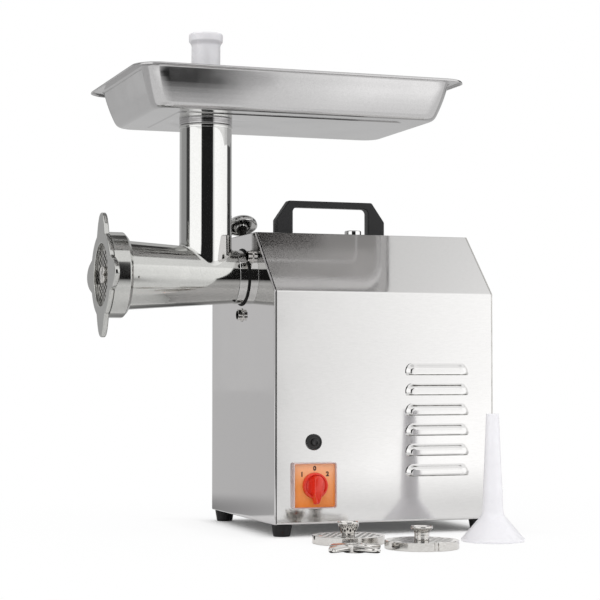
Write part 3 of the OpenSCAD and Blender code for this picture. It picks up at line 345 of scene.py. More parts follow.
# Moulded plastic, rubber or enamel: fine texture of size mm from the mould, colour and gloss that wander
# slightly
def mouldedFinish(name, light, dark, rough, size, depth, **more):
    material, tree, at = startMaterial(name)
    fine = addNode(tree, "TexNoise", {"Vector": at, "Scale": 1000 / size, "Detail": 2.0})
    clouds = addNode(tree, "TexNoise", {"Vector": at, "Scale": 1000 / 22, "Detail": 3.0})
    tone = addNode(tree, "MapRange", {"Value": clouds, "From Min": 0.35, "From Max": 0.65})
    base = addNode(tree, "Mix", {0: tone, 6: dark, 7: light}, data_type="RGBA")
    gloss = addNode(tree, "MapRange", {"Value": clouds, "From Min": 0.35, "From Max": 0.65,
                                       "To Min": rough - 0.03, "To Max": rough + 0.03})
    normal = addNode(tree, "Bump", {"Height": fine, "Distance": depth * mm})
    sockets = {"Base Color": base, "Roughness": gloss, "Normal": normal}
    sockets.update({key.replace("_", " "): value for key, value in more.items()})
    addNode(tree, "OutputMaterial", {"Surface": addNode(tree, "BsdfPrincipled", sockets)})
    return material


# feet of carbon-black rubber, compression moulded: near black and almost without gloss
footRubber = mouldedFinish("moulded_black_rubber", "#131212", "#0b0b0b", 0.55, 0.8, 0.03,
                           Specular_IOR_Level=0.35)
# nylon handle from a sparked mould: near black, satin
handleNylon = mouldedFinish("glass_filled_nylon", "#161618", "#0e0e0f", 0.42, 0.6, 0.02)
# black ABS from a polished mould: small sharp highlights on deep black
blackAbs = mouldedFinish("gloss_black_abs", "#161617", "#0d0d0e", 0.18, 0.8, 0.003)
# nitrile rubber cut from sheet: the darkest surface here, it swallows highlights
gasketRubber = mouldedFinish("nitrile_gasket", "#080808", "#050505", 0.6, 0.6, 0.01, Specular_IOR_Level=0.15)
# unfilled nylon of the fan: cream coloured, satin
fanNylon = mouldedFinish("natural_nylon", "#e4ddc8", "#d2c9b0", 0.4, 0.8, 0.02)
# moulded case of the run capacitor: off-white, satin
capacitorCase = mouldedFinish("capacitor_can", "#dedcd6", "#c8c6c0", 0.35, 1.0, 0.01)
# stove enamel sprayed on the motor: blue-grey with a slight orange-peel skin
motorEnamel = mouldedFinish("grey_stove_enamel", "#5d6468", "#4b5155", 0.38, 0.9, 0.03)
# phenolic of the switch and breaker bodies: dark brown-black, softly shining
switchBakelite = mouldedFinish("switch_bakelite", "#2b2a29", "#1c1b1a", 0.4, 0.7, 0.02)
# red knob: glossy polyamide moulding under a thin clear gloss, its red hardly varying
redNylon = mouldedFinish("red_polyamide", "#e2331f", "#d32815", 0.22, 0.7, 0.004, Coat_Weight=0.4,
                         Coat_Roughness=0.08)
# milky polyethylene and polypropylene: light enters, scatters and leaves, so thin walls glow
pusherPlastic = mouldedFinish("milky_polyethylene", "#e9e8eb", "#e4e3e6", 0.27, 6, 0.002,
                              Subsurface_Weight=0.6, Subsurface_Radius=(1.0, 0.97, 0.95),
                              Subsurface_Scale=5 * mm)
funnelPlastic = mouldedFinish("milky_polypropylene", "#f3f2f6", "#efeef2", 0.3, 6, 0.001,
                              Subsurface_Weight=0.25, Subsurface_Radius=(1.0, 0.99, 0.98),
                              Subsurface_Scale=3 * mm, Specular_IOR_Level=0.3)
# clear polycarbonate, slightly hazy: bright edges; its faint warm tint is painted light, the orange plate's
# colour glowing in it
clearFrame = mouldedFinish("clear_polycarbonate", "#fdeeec", "#f9e6e4", 0.12, 3, 0.002,
                           Transmission_Weight=0.55, IOR=1.45)
# pad-printed ink: dark brown and matt against the glossy plate
dialInk = mouldedFinish("pad_printing_ink", "#3a2018", "#2a1610", 0.5, 0.5, 0.002)


# enamelled copper wire: round turns side by side, so bright orange lines with dark gaps
def windingWire():
    material, tree, at = startMaterial("enamelled_copper_wire")
    turns = addNode(tree, "TexWave", {"Vector": at, "Scale": 180.0, "Distortion": 3.0, "Detail": 1.0},
                    bands_direction="X")
    base = addNode(tree, "Mix", {0: turns.outputs["Fac"], 6: "#7a3a1a", 7: "#d98a4f"}, data_type="RGBA")
    normal = addNode(tree, "Bump", {"Height": turns.outputs["Fac"], "Distance": 0.3 * mm})
    shader = addNode(tree, "BsdfPrincipled", {"Base Color": base, "Metallic": 1.0, "Roughness": 0.35,
                                              "Normal": normal})
    addNode(tree, "OutputMaterial", {"Surface": shader})
    return material


# moulded orange dial plate: a shade paler towards its top; this stands for the light that the clear frame
# throws on it, and is part of the plate's colour
def dialMoulding():
    material, tree, at = startMaterial("moulded_orange_plate")
    low, high = corners("switch_plate")
    z = addNode(tree, "SeparateXYZ", {0: at}).outputs["Z"]
    up = addNode(tree, "MapRange", {"Value": z, "From Min": low[2] * mm, "From Max": high[2] * mm})
    shade = addNode(tree, "ValToRGB", {"Fac": up},
                    stops=[(0.0, "#ee8a36"), (0.5, "#f19a50"), (1.0, "#f2b084")])
    fine = addNode(tree, "TexNoise", {"Vector": at, "Scale": 1000 / 0.6, "Detail": 2.0})
    gloss = addNode(tree, "MapRange", {"Value": fine, "To Min": 0.22, "To Max": 0.34})
    normal = addNode(tree, "Bump", {"Height": fine, "Distance": 0.004 * mm})
    shader = addNode(tree, "BsdfPrincipled", {"Base Color": shade, "Roughness": gloss, "Normal": normal,
                                              "Coat Weight": 0.3})
    addNode(tree, "OutputMaterial", {"Surface": shader})
    return material


copperWindings = windingWire()
orangePlate = dialMoulding()
print("materials made")

finishes = {
    foldedSheet: ["body_shell"],
    flatSheet: ["front_panel"],
    groundSheet: ["rear_panel"],
    pickledSheet: ["base_plate", "motor_cradle", "capacitor_clamp"],
    zincPlate: ["foot_screws", "handle_screws", "gearbox_bolts"],
    headedSteel: ["panel_screws", "flange_bolts"],
    footRubber: ["foot_front_left", "foot_front_right", "foot_rear_left", "foot_rear_right"],
    handleNylon: ["top_handle"],
    chromePlate: ["roof_plug", "lock_knob"],
    polishedTube: ["neck_socket"],
    buffedCasting: ["barrel", "retaining_ring"],
    gasketRubber: ["neck_gasket", "shaft_seal"],
    castAluminium: ["gearbox_front", "gearbox_rear"],
    turnedSteel: ["ball_bearings", "output_shaft", "rotor_shaft", "auger_shaft", "plate_key"],
    gearSteel: ["output_gear", "middle_gear", "motor_pinion"],
    motorEnamel: ["motor_frame", "motor_front_bell", "motor_rear_bell"],
    coreSheets: ["stator_core", "rotor_core"],
    copperWindings: ["stator_windings"],
    fanNylon: ["cooling_fan"],
    capacitorCase: ["run_capacitor"],
    switchBakelite: ["switch_body", "breaker_body"],
    orangePlate: ["switch_plate"],
    clearFrame: ["switch_frame"],
    redNylon: ["switch_knob"],
    blackAbs: ["breaker_nut", "reset_button", "cable_gland", "gland_nut"],
    bushBronze: ["tail_bush"],
    oiledToolSteel: ["auger", "cross_knife"],
    buffedToolSteel: ["cutting_plate", "spare_plate_a", "spare_plate_b", "spare_knife"],
    drawnSheet: ["tray"],
    pusherPlastic: ["pusher"],
    funnelPlastic: ["stuffing_funnel"],
}
for material, names in finishes.items():
    for name in names:
        slots = nodes[name].data.materials
        if not len(slots):
            slots.append(material)
        for k in range(len(slots)):
            slots[k] = material
print("CAD nodes without a finish:", sorted(set(nodes) - {n for names in finishes.values() for n in names}))

shellLow, shellHigh = corners("body_shell")
frontX, rearX = corners("front_panel")[0][0], corners("rear_panel")[1][0]
housing = {"front": frontX, "rear": rearX, "halfWidth": 110, "bottom": shellLow[2], "bend": 246,
           "roof": shellHigh[2], "roofHalf": 46, "sheet": 1.2, "panel": 1.5, "returnWidth": 24, "seam": 0.9}
louvres = {"x": 57, "low": 58, "pitch": 20.7, "count": 6, "length": 72, "height": 13, "depth": 3.75,
           "corner": 8.5, "slopeWidth": 6.55, "wall": 0.9, "slot": 2.6, "lip": 0.5, "lipShade": 0.9}


# outline of the folded sheet, (y, z): return, side, slope, roof, slope, side, return
def sheetPath(h):
    w, z0, z1, z2, f = h["halfWidth"], h["bottom"], h["bend"], h["roof"], h["roofHalf"]
    inner = w - h["sheet"] - h["returnWidth"]
    pts = [(-inner, z0), (-w, z0), (-w, z1), (-f, z2), (f, z2), (w, z1), (w, z0), (inner, z0)]
    return roundPath(pts, [0, 2.2, 2.4, 2.4, 2.4, 2.4, 2.2, 0], 6)


# the outline carried from front to rear: (x, y(s), z(s)), left open behind each louvre
def bodyShell(h, v):
    path = held(refine(sheetPath(h), 12))
    cuts = np.array([v["low"] + k * v["pitch"] + d for k in range(v["count"])
                     for d in (0.4, 0.4 + v["slot"])])
    onSide = np.abs(np.abs(path[:, 0]) - h["halfWidth"]) < 1e-6
    z = np.unique(np.round(np.concatenate([path[onSide, 1], cuts, cuts - 0.15, cuts + 0.15]), 4))
    path = np.concatenate([path[(path[:, 0] < -80) & ~onSide & (path[:, 1] < 100)],
                           np.column_stack([np.full(len(z), -h["halfWidth"]), z]),
                           path[~onSide & (path[:, 1] > 100)],
                           np.column_stack([np.full(len(z), h["halfWidth"]), z[::-1]]),
                           path[(path[:, 0] > 80) & ~onSide & (path[:, 1] < 100)]])
    x0, x1 = h["front"] + h["panel"] + h["seam"], h["rear"] - h["panel"]
    slot = v["length"] / 2 - v["slopeWidth"]
    xs = np.unique(np.round(np.concatenate([np.linspace(x0, x1, 21), [x0 + 0.3, x1 - 0.3],
                                          *[[v["x"] + d * slot + e for e in (-0.15, 0, 0.15)]
                                            for d in (-1, 1)]]), 4))
    points = np.empty((len(path), len(xs), 3))
    points[..., 0] = xs
    points[..., 1:] = path[:, None]
    midZ, midX = (path[1:, 1] + path[:-1, 1]) / 2, (xs[1:] + xs[:-1]) / 2
    side = np.abs((path[1:, 0] + path[:-1, 0]) / 2) > h["halfWidth"] - 0.01
    inSlot = ((midZ[:, None] > cuts[::2]) & (midZ[:, None] < cuts[1::2])).any(1)
    return surface(points, keep=~((inSlot & side)[:, None] & (np.abs(midX - v["x"]) < slot)[None]))


# pressed hood: from its outline towards the lip's middle line the depth rises as (1 - cos) / 2 over the
# slope's width and stays level to the lip, which curls in over its last millimetre; a copy one sheet further
# in closes it
def louvreHood(v, z0, side, halfWidth):
    l, hgt, w = v["length"] / 2, v["height"], v["slopeWidth"]
    bend = refine(roundPath([(-l, 0), (-l, hgt), (l, hgt), (l, 0)], [0, v["corner"], v["corner"], 0], 12),
                  2.4)
    outline = np.concatenate([bend[:1], [(-l, 0.25)], bend[1:-1], [(l, 0.25)], bend[-1:]])
    target = np.column_stack([np.clip(outline[:, 0], hgt - l, l - hgt), np.zeros(len(outline))])
    reach = np.linalg.norm(target - outline, axis=1)
    t = np.linspace(0, 1, 17) * w
    s = np.concatenate([t[:, None] / reach, 1 + (w / reach - 1)
                        * np.array([[0.75], [0.4], [0.16], [0.08], [0.0]])])
    flat = outline[None] * (1 - s[..., None]) + target[None] * s[..., None]
    rise = np.clip(s * reach[None] / w, 0, 1)
    y = v["depth"] * (1 - np.cos(math.pi * rise)) / 2 - 0.04 - v["lip"] * np.clip(1 - flat[..., 1], 0, 1) ** 2
    grid = np.stack([v["x"] + flat[..., 0], side * (halfWidth + y), z0 + flat[..., 1]], -1)
    return thickened(grid, (0, -side * v["wall"], 0))


makePiece("folded_shell", facing(bodyShell(housing, louvres), (0, 0, 1)), "housing", foldedSheet,
          ["body_shell"], 30, outward=False, wall=housing["sheet"])
hoods = joined(*[louvreHood(louvres, louvres["low"] + k * louvres["pitch"], s, housing["halfWidth"])
                 for k in range(louvres["count"]) for s in (-1, 1)])
overLip = (hoods[0][np.array(hoods[1])].mean(1)[:, 2] - louvres["low"] + 1) % louvres["pitch"] - 1
makePiece("louvre_hoods", hoods, "housing", foldedSheet, (), 60,
          inner=(pickledSheet, (overLip < louvres["lipShade"]).astype(int)))  # the lip's lowest strip takes darker, duller steel: painted shade along the hood's lower edge

neck = {"axisZ": 265, "bore": 22.4, "ring": 28.5, "hole": 28.9, "gasketInner": 28.55, "gasket": 30.6,
        "gasketThick": 1.2, "edge": 1.25}
bolts = {"circle": 40, "turns": (30, 150, 270), "washer": 7.2, "washerThick": 0.9, "flats": 4.85,
         "corner": 5.6, "high": 5.0}


# front panel: rings of points from the neck's hole out to the sheet's outline, then a quarter circle over
# its edge
def frontPanel(h, n):
    w, z0, z1, z2, f = h["halfWidth"], h["bottom"], h["bend"], h["roof"], h["roofHalf"]
    loop = roundPath([(w, z0), (w, z1), (f, z2), (-f, z2), (-w, z1), (-w, z0)],
                     [1.5, 2.4, 2.4, 2.4, 2.4, 1.5], 6, True)
    loop = refine(loop, 6, True)
    e, x = n["edge"], h["front"]
    rim = offsetLoop(loop, -e) - (0, n["axisZ"])
    angle = np.arctan2(rim[:, 1], rim[:, 0])
    hole = n["hole"] * np.stack([np.cos(angle), np.sin(angle)], 1)
    flat = [(x + 1.4, hole)] + [(x, hole * (1 - s) + rim * s) for s in (0, 0.01, 0.2, 0.4, 0.6, 0.8, 0.99, 1)]
    bent = [(x + e - e * math.cos(t), offsetLoop(loop, e * math.sin(t) - e) - (0, n["axisZ"]))
            for t in np.linspace(0.15, 1, 6) * math.pi / 2]
    back = [(x + 1.4, offsetLoop(loop, 0) - (0, n["axisZ"])),
            (x + 1.4, offsetLoop(loop, -3) - (0, n["axisZ"]))]
    rows = [np.column_stack([np.full(len(loop), px), ring]) for px, ring in flat + bent + back]
    return surface(np.array(rows) + (0, 0, n["axisZ"]), wrapCols=True)


makePiece("front_plate", facing(frontPanel(housing, neck), (-1, 0, 0)), "housing", flatSheet,
          ["front_panel"], 30, outward=False)

socketLow, socketHigh = corners("neck_socket")
gasketBack = corners("neck_gasket")[1][0]
towardsHead = ((0, 0, 1), (0, 1, 0), (-1, 0, 0))  # local z looks out of the front panel
socketPlace = placeAt((socketLow[0], 0, neck["axisZ"]), *towardsHead)
deep = socketHigh[0] - socketLow[0]
section = roundPath([(neck["bore"], -deep), (neck["ring"] - 0.1, -deep), (neck["ring"], 0),
                     (neck["bore"], 0)],
                    [0, 0, 0.4, 0.3], 4, True)
makePiece("neck_ring", lathe(section, socketPlace, 128, loop=True), "housing", polishedTube,
          ["neck_socket"])
thick, rim = neck["gasketThick"], neck["gasket"]
section = roundPath([(neck["gasketInner"], 0), (rim, 0), (rim - 0.4, thick), (neck["gasketInner"], thick)],
                    [0, 0, 0.5, 0], 4, True)
makePiece("neck_seal", lathe(section, placeAt((gasketBack, 0, neck["axisZ"]), *towardsHead), 128, loop=True),
          "housing", gasketRubber, ["neck_gasket"])
boltHeads = []
for degrees in bolts["turns"]:
    a = math.radians(degrees)
    at = placeAt((frontX, bolts["circle"] * math.cos(a), neck["axisZ"] + bolts["circle"] * math.sin(a)),
                 *towardsHead)
    under, top, corner = bolts["washerThick"], bolts["high"], bolts["corner"]
    washer = roundPath([(0, 0), (bolts["washer"], 0), (bolts["washer"], under), (0, under)],
                       [0, 0.1, 0.3, 0], 3)
    head = [(0, under), (corner, under), (corner, top - 0.7), (corner - 0.35, top - 0.3), (corner - 1, top),
            (0, top)]
    boltHeads += [lathe(washer, at, 48), lathe(head, at, 72, hexagon(bolts["flats"]))]
makePiece("hex_bolt_heads", joined(*boltHeads), "housing", headedSteel, (), 25)

foot = {"bottom": 8.5, "top": 10.5, "hole": 4.4, "recess": 3.5, "stud": 2.2}
for corner in ("front_left", "front_right", "rear_left", "rear_right"):
    low, high = corners("foot_" + corner)
    x, y = (low[:2] + high[:2]) / 2
    profile = roundPath([(foot["hole"], foot["recess"]), (foot["hole"], 0), (foot["bottom"], 0),
                         (foot["top"], high[2]), (foot["stud"], high[2])], [0, 0.3, 0.9, 0.5, 0], 4)
    makePiece("rubber_foot_" + corner, lathe(profile, placeAt((x, y, 0)), 48), "housing", footRubber,
              ["foot_" + corner])

handle = {"leg": 19, "grip": 7, "chamfer": 14.5, "slant": 21, "hole": 5, "edge": 1.3}


# handle: its outer and inner paths in (x, z) have as many points each; between them every station is a flat
# bar whose section is a rectangle with rounded corners
def handleShape(half, high, thick, h):
    c, s, inside, under, e = h["chamfer"], h["slant"], half - h["leg"], high - h["grip"], h["edge"]
    outer = roundPath([(-half, 0), (-half, high - s), (c - half, high), (half - c, high), (half, high - s),
                       (half, 0)], [0, 2.5, 2.5, 2.5, 2.5, 0], 6)
    inner = roundPath([(-inside, 0), (-inside, under), (inside, under), (inside, 0)],
                      [0, h["hole"], h["hole"], 0], 13)
    across = inner - outer
    wide = np.linalg.norm(across, axis=1, keepdims=True)
    a = np.linspace(0, math.pi / 2, 5)
    corner = np.column_stack([e - e * np.cos(a), e - e * np.sin(a)])
    # section: distance from the outer path (negative: from the inner one) and from the middle of the
    # thickness
    near = [(d, thick / 2 - t) for d, t in corner] + [(e + 0.3, thick / 2)]
    rows = [(0, d, y) for d, y in near] + [(1, d, y) for d, y in near[::-1]]
    rows += [(1, d, -y) for d, y in near] + [(0, d, -y) for d, y in near[::-1]]
    grid = []
    for side, d, y in rows:
        p = (inner - across / wide * d) if side else (outer + across / wide * d)
        grid.append(np.column_stack([p[:, 0], np.full(len(p), y), p[:, 1]]))
    return np.array(grid)


low, high = corners("top_handle")
arch = handleShape((high[0] - low[0]) / 2, high[2] - low[2], high[1] - low[1], handle)
arch += ((low[0] + high[0]) / 2, (low[1] + high[1]) / 2, low[2])
makePiece("carrying_handle", surface(arch, wrapRows=True), "housing", handleNylon,
          ["top_handle"], 30)

low, high = corners("roof_plug")
plugRadius = (high[0] - low[0]) / 2
plugPlace = placeAt((low[0] + plugRadius, 0, housing["roof"]))
plugHigh = high[2] - housing["roof"]
plug = roundPath([(0, 0), (plugRadius, 0), (plugRadius, plugHigh), (0, plugHigh)], [0, 0.4, 1.1, 0], 5)
makePiece("chrome_plug", lathe(plug, plugPlace, 72), "housing", chromePlate, ["roof_plug"])

lock = {"x": -111, "lean": 27.5, "reach": 61.5, "radius": 17, "rim": 3, "dome": 8.5, "boss": 5.4,
        "bossLong": 3, "stud": 4, "start": 22.2}


# lock knob: dome (R cos u, rim + H sin u) over a rounded rim; its underside is a shallow cone down to a boss
# and stud
def lockKnob(k):
    a = math.radians(k["lean"])
    place = placeAt((k["x"], 0, neck["axisZ"]), (1, 0, 0), (0, math.cos(a), -math.sin(a)),
                    (0, math.sin(a), math.cos(a)))
    z, r = k["reach"], k["radius"]
    u = np.linspace(0, math.pi / 2, 16)
    dome = np.column_stack([r * np.cos(u) ** 0.9, z + k["rim"] + k["dome"] * np.sin(u)])
    under = roundPath([(0, k["start"]), (k["stud"], k["start"]), (k["stud"], z - k["bossLong"]),
                       (k["boss"], z - k["bossLong"]), (k["boss"], z + 0.9), (r - 2.6, z + 0.2), (r - 1.9, z),
                       (r, z + 0.6), (r, z + k["rim"])], [0, 0.5, 0.2, 0.8, 0.6, 0.4, 0.5, 0.7, 0], 5)
    knob = lathe(np.concatenate([under, dome[1:]]), place, 128)
    height = (knob[0][knob[1]].mean(1) - place[0]) @ place[1][2]
    return knob, (height < z - 0.3).astype(int)  # the stud and its boss take near-black steel: painted shade under the knob


dome, turnedPart = lockKnob(lock)
makePiece("lock_dome", dome, "lock", chromePlate, ["lock_knob"], 50,
          inner=(drilledSteel, turnedPart))
print("housing made")

controls = {"x": -78.5, "switchZ": 51, "buttonZ": 94.3}
control = lambda z, out=0: placeAt((controls["x"], -housing["halfWidth"] - out, z), (1, 0, 0), (0, 0, 1),
                                   (0, -1, 0))
dial = {"frame": 46, "frameThick": 6, "frameCorner": 2.4, "plate": 43.5, "plateThick": 3, "knob": 13.3,
        "rim": 1.5, "skirt": 4.5, "floor": 3.2, "barHalf": 4.6, "barHead": 10.2, "barTail": 18.2,
        "barTop": 13.4, "gap": 0.4, "marks": {"1": (-13.6, 11.2), "0": (0, 17.0), "2": (13.6, 11.2)},
        "markHigh": 4.4, "bold": 0.00035}


# clear frame: a square ring, its section a rectangle with rounded outer edges, carried round a rounded square
def clearSurround(d):
    steps = roundPath([(0, 0), (0, d["frameThick"]), (-1.15, d["frameThick"]), (-1.15, 0.2)],
                      [0, 0.6, 0.3, 0], 4)
    outline = roundRect(d["frame"], d["frame"], d["frameCorner"], 8)
    rows = [np.column_stack([offsetLoop(outline, o), np.full(len(outline), h)]) for o, h in steps]
    return surface(put(np.array(rows), control(controls["switchZ"])), wrapRows=True, wrapCols=True)


# knob: a shallow cup turned round its axis, and a grip bar that narrows to a pointer, its top crowned
# lengthwise
def dialKnob(d):
    place = control(controls["switchZ"], d["plateThick"] + d["gap"])
    r = d["knob"]
    cup = roundPath([(3.9, 0), (r, 0), (r - 0.7, d["skirt"]), (r - d["rim"] - 0.9, d["skirt"]),
                     (r - d["rim"] - 1.6, d["floor"]), (0, d["floor"])], [0, 0.3, 0.8, 0.4, 0.6, 0], 5)
    w, h, t = d["barHalf"], d["barHead"], d["barTail"]
    outline = refine(roundPath([(w, h), (-w, h), (-w - 0.5, -7), (-1.3, -t), (1.3, -t), (w + 0.5, -7)],
                               [4.3, 4.3, 4, 1.0, 1.0, 4], 6, True), 2.5, True)
    steps = [(0.7, d["floor"] - 0.3), (0.1, d["floor"] + 1.0), (-0.2, 8)] + [(-0.35 - 1.3 * (1 - math.cos(u)),
             d["barTop"] - 1.3 + 1.3 * math.sin(u)) for u in np.linspace(0, math.pi / 2, 6)]
    crown = np.array([np.column_stack([offsetLoop(outline, o), np.full(len(outline), h)]) for o, h in steps])
    fall = 2.6 * np.clip((-crown[..., 1] - 2) / t, 0, 1) ** 1.5 + 0.8 * np.clip(crown[..., 1] / h, 0, 1) ** 2
    crown[..., 2] -= fall * np.clip((crown[..., 2] - d["floor"]) / 9, 0, 1)
    points, faces = surface(put(crown, place), wrapCols=True)
    n, last = len(outline), len(points) - len(outline)
    bar = points, [list(f) for f in faces] + [list(range(n))[::-1], [last + k for k in range(n)]]
    return joined(lathe(cup, place, 96), bar)


def printedMark(text, height, x, y, place, bold):  # a numeral's flat outline as a mesh, centred at (x, y)
    curve = bpy.data.curves.new("mark", "FONT")
    curve.body, curve.size, curve.align_x, curve.align_y = text, height * 1.4, "CENTER", "CENTER"
    curve.offset = bold
    item = bpy.data.objects.new("mark", curve)
    bpy.context.scene.collection.objects.link(item)
    bpy.context.view_layer.update()
    mesh = bpy.data.meshes.new_from_object(item.evaluated_get(bpy.context.evaluated_depsgraph_get()))
    flat = np.empty(len(mesh.vertices) * 3)
    mesh.vertices.foreach_get("co", flat)
    flat = flat.reshape(-1, 3) * (1, 1, 0) + (x, y, 0)
    faces = [list(p.vertices) for p in mesh.polygons]
    bpy.data.objects.remove(item)
    bpy.data.curves.remove(curve)
    bpy.data.meshes.remove(mesh)
    return put(flat, place), faces


dialPlate = roundRect(dial["plate"], dial["plate"], 1.4, 6)
makePiece("dial_plate", slab(dialPlate, edgeSteps(0, dial["plateThick"], 0.3, 2),
                             control(controls["switchZ"])),
          "housing", orangePlate, ["switch_plate"])
makePiece("clear_surround", clearSurround(dial), "housing", clearFrame, ["switch_frame"], 50)
makePiece("dial_knob", dialKnob(dial), "knob", redNylon, ["switch_knob"], 45)
onPlate = control(controls["switchZ"], dial["plateThick"] + 0.04)
marks = joined(*[printedMark(t, dial["markHigh"], x, y, onPlate, dial["bold"] / mm)
                 for t, (x, y) in dial["marks"].items()])
makePiece("dial_numbers", marks, "housing", dialInk, (), 30, outward=False)

button = {"nut": 8.3, "inner": 5.9, "nutOut": 3.0, "seat": 1.6, "hole": 3.75, "radius": 3.6, "out": 5.8,
          "long": 10, "ribs": 24, "ribDepth": 0.3}
wide, out, seat = button["nut"], button["nutOut"], button["seat"]
nutProfile = roundPath([(button["inner"], 0), (wide, 0), (wide, out - 0.8), (wide - 0.7, out),
                        (button["inner"] + 0.3, out), (button["inner"] - 0.9, seat), (button["hole"], seat),
                        (button["hole"], 0)], [0, 0.1, 0.4, 0.3, 0.5, 0.5, 0.2, 0], 4, True)
# knurl: the radius falls by half the ribs' depth times (1 - cos (ribs times the angle))
ribs = lambda r, a, h: r - np.where(r > wide - 0.3,
                                    button["ribDepth"] / 2 * (1 - np.cos(button["ribs"] * a)), 0)
makePiece("reset_nut", lathe(nutProfile, control(controls["buttonZ"]), 192, ribs, True), "housing", blackAbs,
          ["breaker_nut"])
capWide, capOut = button["radius"], button["out"]
capProfile = roundPath([(0, -button["long"]), (capWide, -button["long"]), (capWide, capOut),
                        (capWide - 2, capOut - 0.45), (0, capOut - 0.5)], [0, 0.1, 0.9, 0.6, 0], 5)
makePiece("reset_cap", lathe(capProfile, control(controls["buttonZ"]), 64), "button", blackAbs,
          ["reset_button"])
print("controls made")

barrel = {"shoulder": -130.3, "tail": 28, "threadBack": -247.3, "front": 36, "threadRadius": 40,
          "threadFront": -268.3, "seat": 35.15, "seatBack": -260.8, "bandFront": -197.0,
          "axisZ": neck["axisZ"], "around": 96, "spigot": 22, "spigotEnd": -106.5, "bush": 15,
          "bushEnd": -124.3, "inside": -135}
feed = {"x": -160, "radius": 27.5, "inner": 25, "top": 424, "bead": 3.6, "beadRadius": 28.2, "weld": 3.2,
        "mouthZ": 300}


def coneRadius(x):  # straight taper from the shoulder to the thread
    c = barrel
    return c["tail"] + (c["front"] - c["tail"]) * (c["shoulder"] - x) / (c["shoulder"] - c["threadBack"])


def onCone(x, phi):  # (x, r(x) sin phi, axis + r(x) cos phi), phi from the top
    r = coneRadius(x)
    return np.stack([x, r * np.sin(phi), barrel["axisZ"] + r * np.cos(phi)], -1)


# the cone round the feed tube: straight lines in (x, phi) from the weld's edge to the rectangle of the
# unrolled band; the weld is the parabola from the tube over the crease to the cone, and the tube rises from
# its upper edge
def roundTheTube(x0, x1, rows=16):
    n, r0, weld = barrel["around"], feed["radius"], feed["weld"]
    theta = np.arange(4 * n) * whole / (4 * n) - math.pi / 4
    xIn = feed["x"] + r0 * np.cos(theta)
    phiIn = np.arcsin(np.clip(r0 * np.sin(theta) / coneRadius(xIn), -1, 1))
    edgeX = xIn + weld * np.cos(theta)
    edgeP = phiIn + weld * np.sin(theta) / coneRadius(xIn)
    k = np.arange(n) / n
    squareX = np.concatenate([np.full(n, x1), x1 + (x0 - x1) * k, np.full(n, x0), x0 + (x1 - x0) * k])
    squareP = np.concatenate([2 * k - 1, np.ones(n), 1 - 2 * k, -np.ones(n)]) * math.pi
    s = np.linspace(0, 1, rows)[:, None] ** 1.3
    band = onCone(edgeX * (1 - s) + squareX * s, edgeP * (1 - s) + squareP * s)
    crease = onCone(xIn, phiIn)
    onTube = crease + (0, 0, weld)
    t = np.linspace(0, 1, 8)[:, None, None]
    fillet = (1 - t) ** 2 * onTube + 2 * t * (1 - t) * crease + t ** 2 * onCone(edgeX, edgeP)
    z = np.linspace(0, 1, 12)[:, None, None]
    top = np.stack([xIn, r0 * np.sin(theta), np.full(4 * n, feed["top"] - feed["bead"])], -1)
    return [surface(rows, wrapCols=True) for rows in (band, fillet, top * (1 - z) + onTube * z)], theta


def barrelShape():
    c, f = barrel, feed
    parts, theta = roundTheTube(c["bandFront"], c["shoulder"])
    rim = roundPath([(f["radius"], f["top"] - f["bead"]), (f["beadRadius"], f["top"] - f["bead"]),
                     (f["beadRadius"], f["top"]), (f["inner"], f["top"]), (f["inner"], f["mouthZ"])],
                    [0, 0.3, 0.9, 0.9, 0], 5)
    across, up = rim[:, :1], np.repeat(rim[:, 1:], len(theta), 1)
    ring = np.stack([across * np.cos(theta), across * np.sin(theta), up], -1)
    parts.append(surface(ring + (f["x"], 0, 0), wrapCols=True))
    phi = (2 * np.arange(c["around"]) / c["around"] - 1) * math.pi
    x, s, t = c["bandFront"], c["shoulder"], c["threadBack"]
    ahead = [(x, coneRadius(x)), (x - 8, coneRadius(x - 8)), (-232, coneRadius(-232)), (t, c["front"])]
    mouth = roundPath([(t, c["front"]), (t, c["threadRadius"]), (c["threadFront"], c["threadRadius"]),
                       (c["threadFront"], c["seat"]), (c["seatBack"], c["seat"]), (c["seatBack"], 31.3),
                       (-200, 30.2)], [0, 0.8, 0.8, 0.3, 0, 0, 0], 4)
    tail = roundPath([(s, c["tail"]), (s, c["spigot"]), (c["spigotEnd"], c["spigot"]),
                      (c["spigotEnd"], c["bush"] + 0.5), (c["bushEnd"], c["bush"] + 0.5),
                      (c["bushEnd"], c["bush"]), (c["inside"], c["bush"]), (c["inside"], 23.5), (-186, 24.8)],
                     [0, 0, 1, 0.5, 0, 0, 0, 0, 0], 4)
    for path in (np.array(ahead), mouth, tail):
        r, px = path[:, 1:2], np.repeat(path[:, :1], len(phi), 1)
        parts.append(surface(np.stack([px, r * np.sin(phi), c["axisZ"] + r * np.cos(phi)], -1),
                             wrapCols=True))
    isTube = np.concatenate([np.full(len(faces), int(k in (2, 3))) for k, (_, faces) in enumerate(parts)])
    return joined(*parts), isTube


shape, isTube = barrelShape()
makePiece("grinder_barrel", shape, "head", buffedCasting, ["barrel"], 28, outward=False,
          inner=(polishedTube, isTube))
pin = {"x": -240.5, "phi": 96, "radius": 1.5}
pinUp = np.array([0, -math.sin(math.radians(pin["phi"])), math.cos(math.radians(pin["phi"]))])
pinAt = np.array([pin["x"], 0, barrel["axisZ"]]) + pinUp * (coneRadius(pin["x"]) - 0.3)
pinDome = [(pin["radius"], 0), (pin["radius"] - 0.1, 0.35), (pin["radius"] - 0.5, 0.5), (0.01, 0.55)]
makePiece("key_pin_end", lathe(pinDome, placeAt(pinAt, (1, 0, 0), np.cross(pinUp, (1, 0, 0)), pinUp), 24),
          "head", oiledToolSteel)

